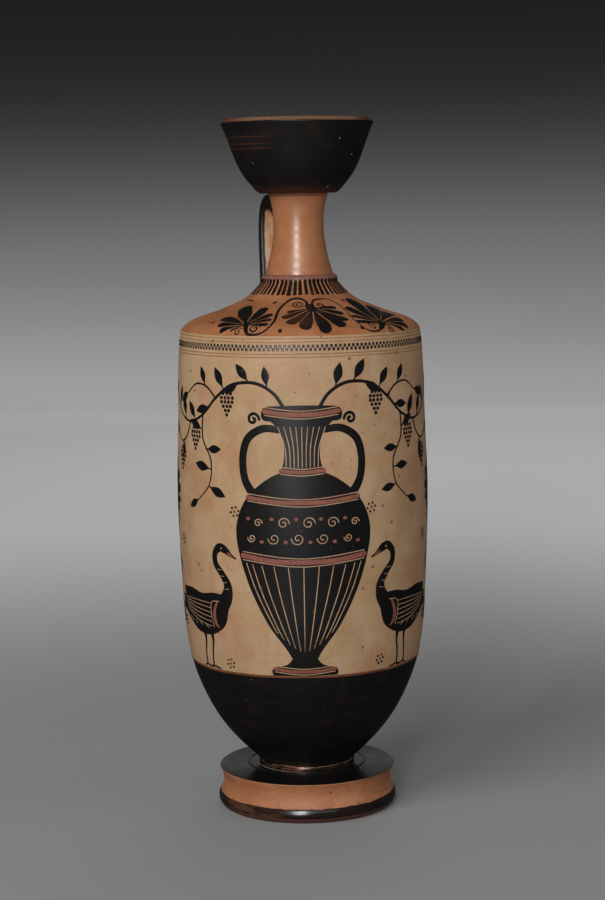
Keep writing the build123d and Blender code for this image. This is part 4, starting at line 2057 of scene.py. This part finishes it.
@dataclass
class Field:
    """Painted field of the body: jars, vines, water birds and blossom trees."""

    ground: float = 74.2
    front_deg: float = -22.0
    bird_deg: float = 53.0
    tree_deg: float = 90.0
    jar_scale: float = 1.18
    bird_scale: float = 0.96

    def build(self, wall: Wall) -> None:
        """Draw and lay every motif.

        Args:
            wall: the body's outside.
        """
        dice = random.Random(21)
        for where, middle in (("front", self.front_deg), ("back", self.front_deg + 180)):
            jar = Slips(f"{where}_jar", wall)
            vessel = Jar()
            vessel.draw(jar, Pose(across(middle), self.ground, scale=self.jar_scale))
            jar.lay()
            birds = Slips(f"{where}_birds", wall)
            for way in (-1, 1):
                x = across(middle + way * self.bird_deg)
                Swan().draw(birds, Pose(x, self.ground, scale=self.bird_scale, mirrored=way > 0))
            birds.lay()
            vine = Slips(f"{where}_vine", wall)
            mouth = self.ground + vessel.height * self.jar_scale
            for way in (-1, 1):
                pose = Pose(across(middle) + way * 3.0, mouth, mirrored=way < 0)
                Vine().draw(vine.black, vine.red, pose, dice)
            self.rosettes(vine, across(middle))
            vine.lay()
        trees = Slips("trees", wall)
        for way in (-1, 1):
            x = across(self.front_deg + way * self.tree_deg)
            BlossomTree().draw(trees, Pose(x, self.ground))
        trees.lay()

    def rosettes(self, slips: Slips, middle: float) -> None:
        """Draw the dotted rosettes that fill the ground between the motifs.

        Args:
            slips: where they are drawn.
            middle: the jar's place.
        """
        for x, height in ((40.0, 4.5), (79.0, 20.0), (33.0, 77.0), (74.0, 60.0)):
            for way in (-1, 1):
                centre = (middle + way * x, self.ground + height + way * 0.6)
                slips.red.spots.append((*centre, 0.8))
                for k in range(6):
                    turn = math.radians(60 * k + 12)
                    slips.black.spots.append(
                        (centre[0] + 2.1 * math.cos(turn), centre[1] + 2.1 * math.sin(turn), 0.6)
                    )


@dataclass(frozen=True)
class SmallMarks:
    """Spots of black slip on the foot's side, and pale chips in the mouth's black slip.

    Each mark has its angle, its height and its radius.
    """

    spots: tuple[Sample, ...] = ((-6.4, 14.4, 0.5), (36.5, 12.7, 0.42))
    chips: tuple[Sample, ...] = (
        (14.5, 319.8, 0.42), (34.5, 312.6, 0.4), (19.0, 297.8, 0.42), (-67.5, 309.2, 0.34),
    )

    def build(self) -> None:
        """Lay both coats."""
        black = BlackSlip("spot_slip", 0.6)
        pale = MattSlip("chip", Tint.PALE_FLECK, Tint.UMBER, 0.3)
        spots = Coat("foot_spots", Wall("foot", 8.0, 18.0), black.material, Slot.GLOSS)
        self.mark(spots, self.spots)
        chips = Coat("mouth_chips", Wall("mouth", 296.0, 327.0), pale.material, Slot.CLAY, 0.02, 0.03)
        self.mark(chips, self.chips)

    @staticmethod
    def mark(coat: Coat, marks: Sequence[Sample]) -> None:
        """Draw round marks and lay them.

        Args:
            coat: the coat of the marks.
            marks: the angle, height and radius of each.
        """
        for angle, height, radius in marks:
            coat.dot(across(angle), height, radius)
        coat.lay()


# Studio


@dataclass(frozen=True)
class Sweep(Finish):
    """Floor and wall coloured with painted light and shade: palest behind the flask, dark at the top."""

    name: str = "sweep_painted_light"
    roughness: float = 0.9
    gloss: float = 0.1
    relief: float = 0.0
    floor_reach: tuple[float, float] = (0.18, 0.95)
    floor_light_tones: tuple[float, float] = (0.3, 0.755)
    bend_reach: tuple[float, float] = (1.6, 2.0)
    bend_light_tones: tuple[float, float] = (1.0, 1.27)
    wall_heights: tuple[float, float] = (0.2, 0.5)
    wall_shade_tones: tuple[float, float] = (1.0, 0.4)
    wall_painted_shade: float = 0.011

    def looks(self, tree: Tree) -> Looks:
        """Build the paint's nodes, from places in metres.

        Args:
            tree: the material's nodes.

        Returns:
            The colour, the roughness, and no relief.
        """
        split = tree.split(tree.node("ShaderNodeTexCoord").outputs["Object"])
        far = self.radius(tree, split)
        # Painted light and shade: the floor is darker near the flask and brighter out to the bend, and the
        # wall darkens towards the top.
        floor = tree.times(tree.ramp(far, *self.floor_reach, *self.floor_light_tones),
                           tree.ramp(far, *self.bend_reach, *self.bend_light_tones))
        wall = tree.times(tree.maths("POWER", self.wall_painted_shade, split[2]),
                          tree.ramp(split[2], *self.wall_heights, *self.wall_shade_tones))
        level = tree.times(floor, wall)
        tone = tree.node("ShaderNodeCombineColor", Red=level, Green=level, Blue=level)
        return tone.outputs[0], self.roughness, None


@dataclass(frozen=True)
class Lamp:
    """Soft rectangular lamp that faces the flask, or the floor some way behind it."""

    name: str
    azimuth_deg: float
    elevation_deg: float
    distance: float
    width: float
    height: float
    watts: float
    mirrored: bool = False
    lit: bool = True
    behind: float = 0.0

    def hang(self, heading_deg: float, target: Vector) -> None:
        """Put up the lamp.

        Args:
            heading_deg: the camera's own azimuth, from which the lamp's is counted to the right.
            target: what it faces, or what the floor behind that it faces is counted from.
        """
        light = bpy.data.lights.new(self.name, "AREA")
        light.shape = "RECTANGLE"
        light.size = self.width
        light.size_y = self.height
        light.energy = self.watts
        lamp = bpy.data.objects.new(self.name, light)
        bpy.context.scene.collection.objects.link(lamp)
        if self.behind:
            turn = math.radians(heading_deg + 180)
            target = Vector((math.sin(turn), -math.cos(turn), 0)) * self.behind
        turn = math.radians(heading_deg + self.azimuth_deg)
        rise = math.radians(self.elevation_deg)
        away = Vector((math.sin(turn) * math.cos(rise), -math.cos(turn) * math.cos(rise), math.sin(rise)))
        lamp.location = target + away * self.distance
        lamp.rotation_euler = away.to_track_quat("Z", "Y").to_euler()
        lamp.visible_camera = False
        lamp.visible_glossy = self.mirrored
        lamp.visible_diffuse = self.lit


@dataclass
class Studio:
    """Sweep, lamps, world and camera."""

    floor_radius: float = 2.0
    bend_radius: float = 0.5
    wall_height: float = 0.8
    sweep_sides: int = 96
    bend_steps: int = 10
    smooth_deg: float = 50.0
    camera_place: tuple[float, float, float] = (-0.3843, -0.9513, 0.296)
    camera_pitch_deg: float = 83.13
    camera_heading_deg: float = -22.01
    camera_roll_deg: float = -0.9
    lens: float = 86.0
    sensor_height: float = 36.0
    lamp_target: tuple[float, float, float] = (0.0, 0.0, 0.16)
    world_level: float = 0.18
    seen_level: float = 0.03
    lamps: tuple[Lamp, ...] = (
        Lamp("key_lamp", -38.0, 34.0, 1.8, 1.0, 0.7, 16.0),
        Lamp("front_lamp", -10.0, 13.0, 1.7, 0.28, 0.8, 13.0),
        Lamp("sheen_strip", -10.0, 20.0, 1.7, 0.4, 1.3, 30.0, True, False),
        Lamp("sheen_card", 8.0, 30.0, 1.7, 1.8, 1.0, 5.0, True, False),
        Lamp("side_lamp", 75.0, 10.0, 1.8, 1.0, 0.8, 4.0),
        Lamp("back_lamp", 165.0, 35.0, 1.8, 1.2, 1.0, 4.0),
        Lamp("back_card", 180.0, 11.0, 1.9, 1.4, 0.3, 0.3, True),
        Lamp("floor_lamp", 180.0, 80.0, 1.2, 2.6, 1.2, 3.4, behind=1.5),
    )

    def build(self) -> None:
        """Set up the whole studio."""
        self.sweep()
        self.world()
        for lamp in self.lamps:
            lamp.hang(self.camera_heading_deg, Vector(self.lamp_target))
        self.camera()
        bpy.context.scene.view_settings.view_transform = "Standard"

    def sweep(self) -> None:
        """Model the floor, its bend and the wall in one sheet."""
        deselect()
        bpy.ops.mesh.primitive_circle_add(
            vertices=self.sweep_sides, radius=self.floor_radius, fill_type="NGON"
        )
        stage = bpy.context.view_layer.objects.active
        stage.name = "sweep"
        rings = []
        for k in range(self.bend_steps):
            turn = math.radians(90 * (k + 1) / self.bend_steps)
            rings.append((self.bend_radius * (1 - math.cos(turn)),
                          self.floor_radius + self.bend_radius * math.sin(turn)))
        rings.append((self.bend_radius + self.wall_height, rings[-1][1]))
        below = 0.0
        reach = self.floor_radius
        with editing():
            bpy.ops.mesh.select_mode(type="EDGE")
            bpy.ops.mesh.region_to_loop()
            for height, wide in rings:
                bpy.ops.mesh.extrude_edges_move(TRANSFORM_OT_translate={"value": (0, 0, height - below)})
                bpy.ops.transform.resize(value=(wide / reach, wide / reach, 1))
                below = height
                reach = wide
        bpy.ops.object.shade_smooth_by_angle(angle=math.radians(self.smooth_deg))
        stage.data.materials.append(Sweep().material())
        stage.visible_glossy = False

    def world(self) -> None:
        """Light the flask evenly from above the wall, and keep the studio dark to the eye."""
        world = bpy.data.worlds.new("studio_air")
        world.use_nodes = True
        world.node_tree.nodes.clear()
        tree = Tree(world.node_tree)
        rays = tree.node("ShaderNodeLightPath")
        seen = rays.outputs["Is Camera Ray"]
        for kind in ("Is Glossy Ray", "Is Transmission Ray"):
            seen = tree.maths("MAXIMUM", seen, rays.outputs[kind])
        level = tree.blend(seen, self.world_level, self.seen_level)
        sky = tree.node("ShaderNodeBackground", Color=(1.0, 1.0, 1.0), Strength=level)
        out = tree.node("ShaderNodeOutputWorld")
        tree.join(out.inputs["Surface"], sky.outputs[0])
        bpy.context.scene.world = world

    def camera(self) -> None:
        """Stand the camera where the photograph was taken from."""
        seen = bpy.data.cameras.new("camera")
        seen.lens = self.lens
        seen.sensor_fit = "VERTICAL"
        seen.sensor_height = self.sensor_height
        eye = bpy.data.objects.new("camera", seen)
        bpy.context.scene.collection.objects.link(eye)
        eye.location = self.camera_place
        turn = (
            Matrix.Rotation(math.radians(self.camera_heading_deg), 4, "Z")
            @ Matrix.Rotation(math.radians(self.camera_pitch_deg), 4, "X")
            @ Matrix.Rotation(math.radians(self.camera_roll_deg), 4, "Z")
        )
        eye.rotation_euler = turn.to_euler()
        bpy.context.scene.camera = eye


def main() -> None:
    """Build the flask's looks in order."""
    logging.basicConfig(level=logging.INFO, format="%(message)s")
    deselect()
    for piece in (
        DressedNode("foot", FootFinish()),
        DressedNode("foot_fillet", FilletFinish()),
        DressedNode("body", BodyFinish()),
        DressedNode("shoulder", FiredClay("shoulder_clay", Tint.NECK, Tint.NECK_DEEP, Tint.NECK_LIGHT, 0.6,
                                          gloss=0.12)),
        DressedNode("neck_ring", RingFinish()),
        DressedNode("neck", NeckFinish()),
        DressedNode("mouth", MouthFinish()),
        DressedNode("handle", HandleFinish()),
    ):
        piece.dress()
    wall = Wall("body", *PAINTED_HEIGHTS)
    BodyBands().build(wall)
    ShoulderOrnament().build()
    Field().build(wall)
    SmallMarks().build()
    Studio().build()


if __name__ == "__main__":
    main()
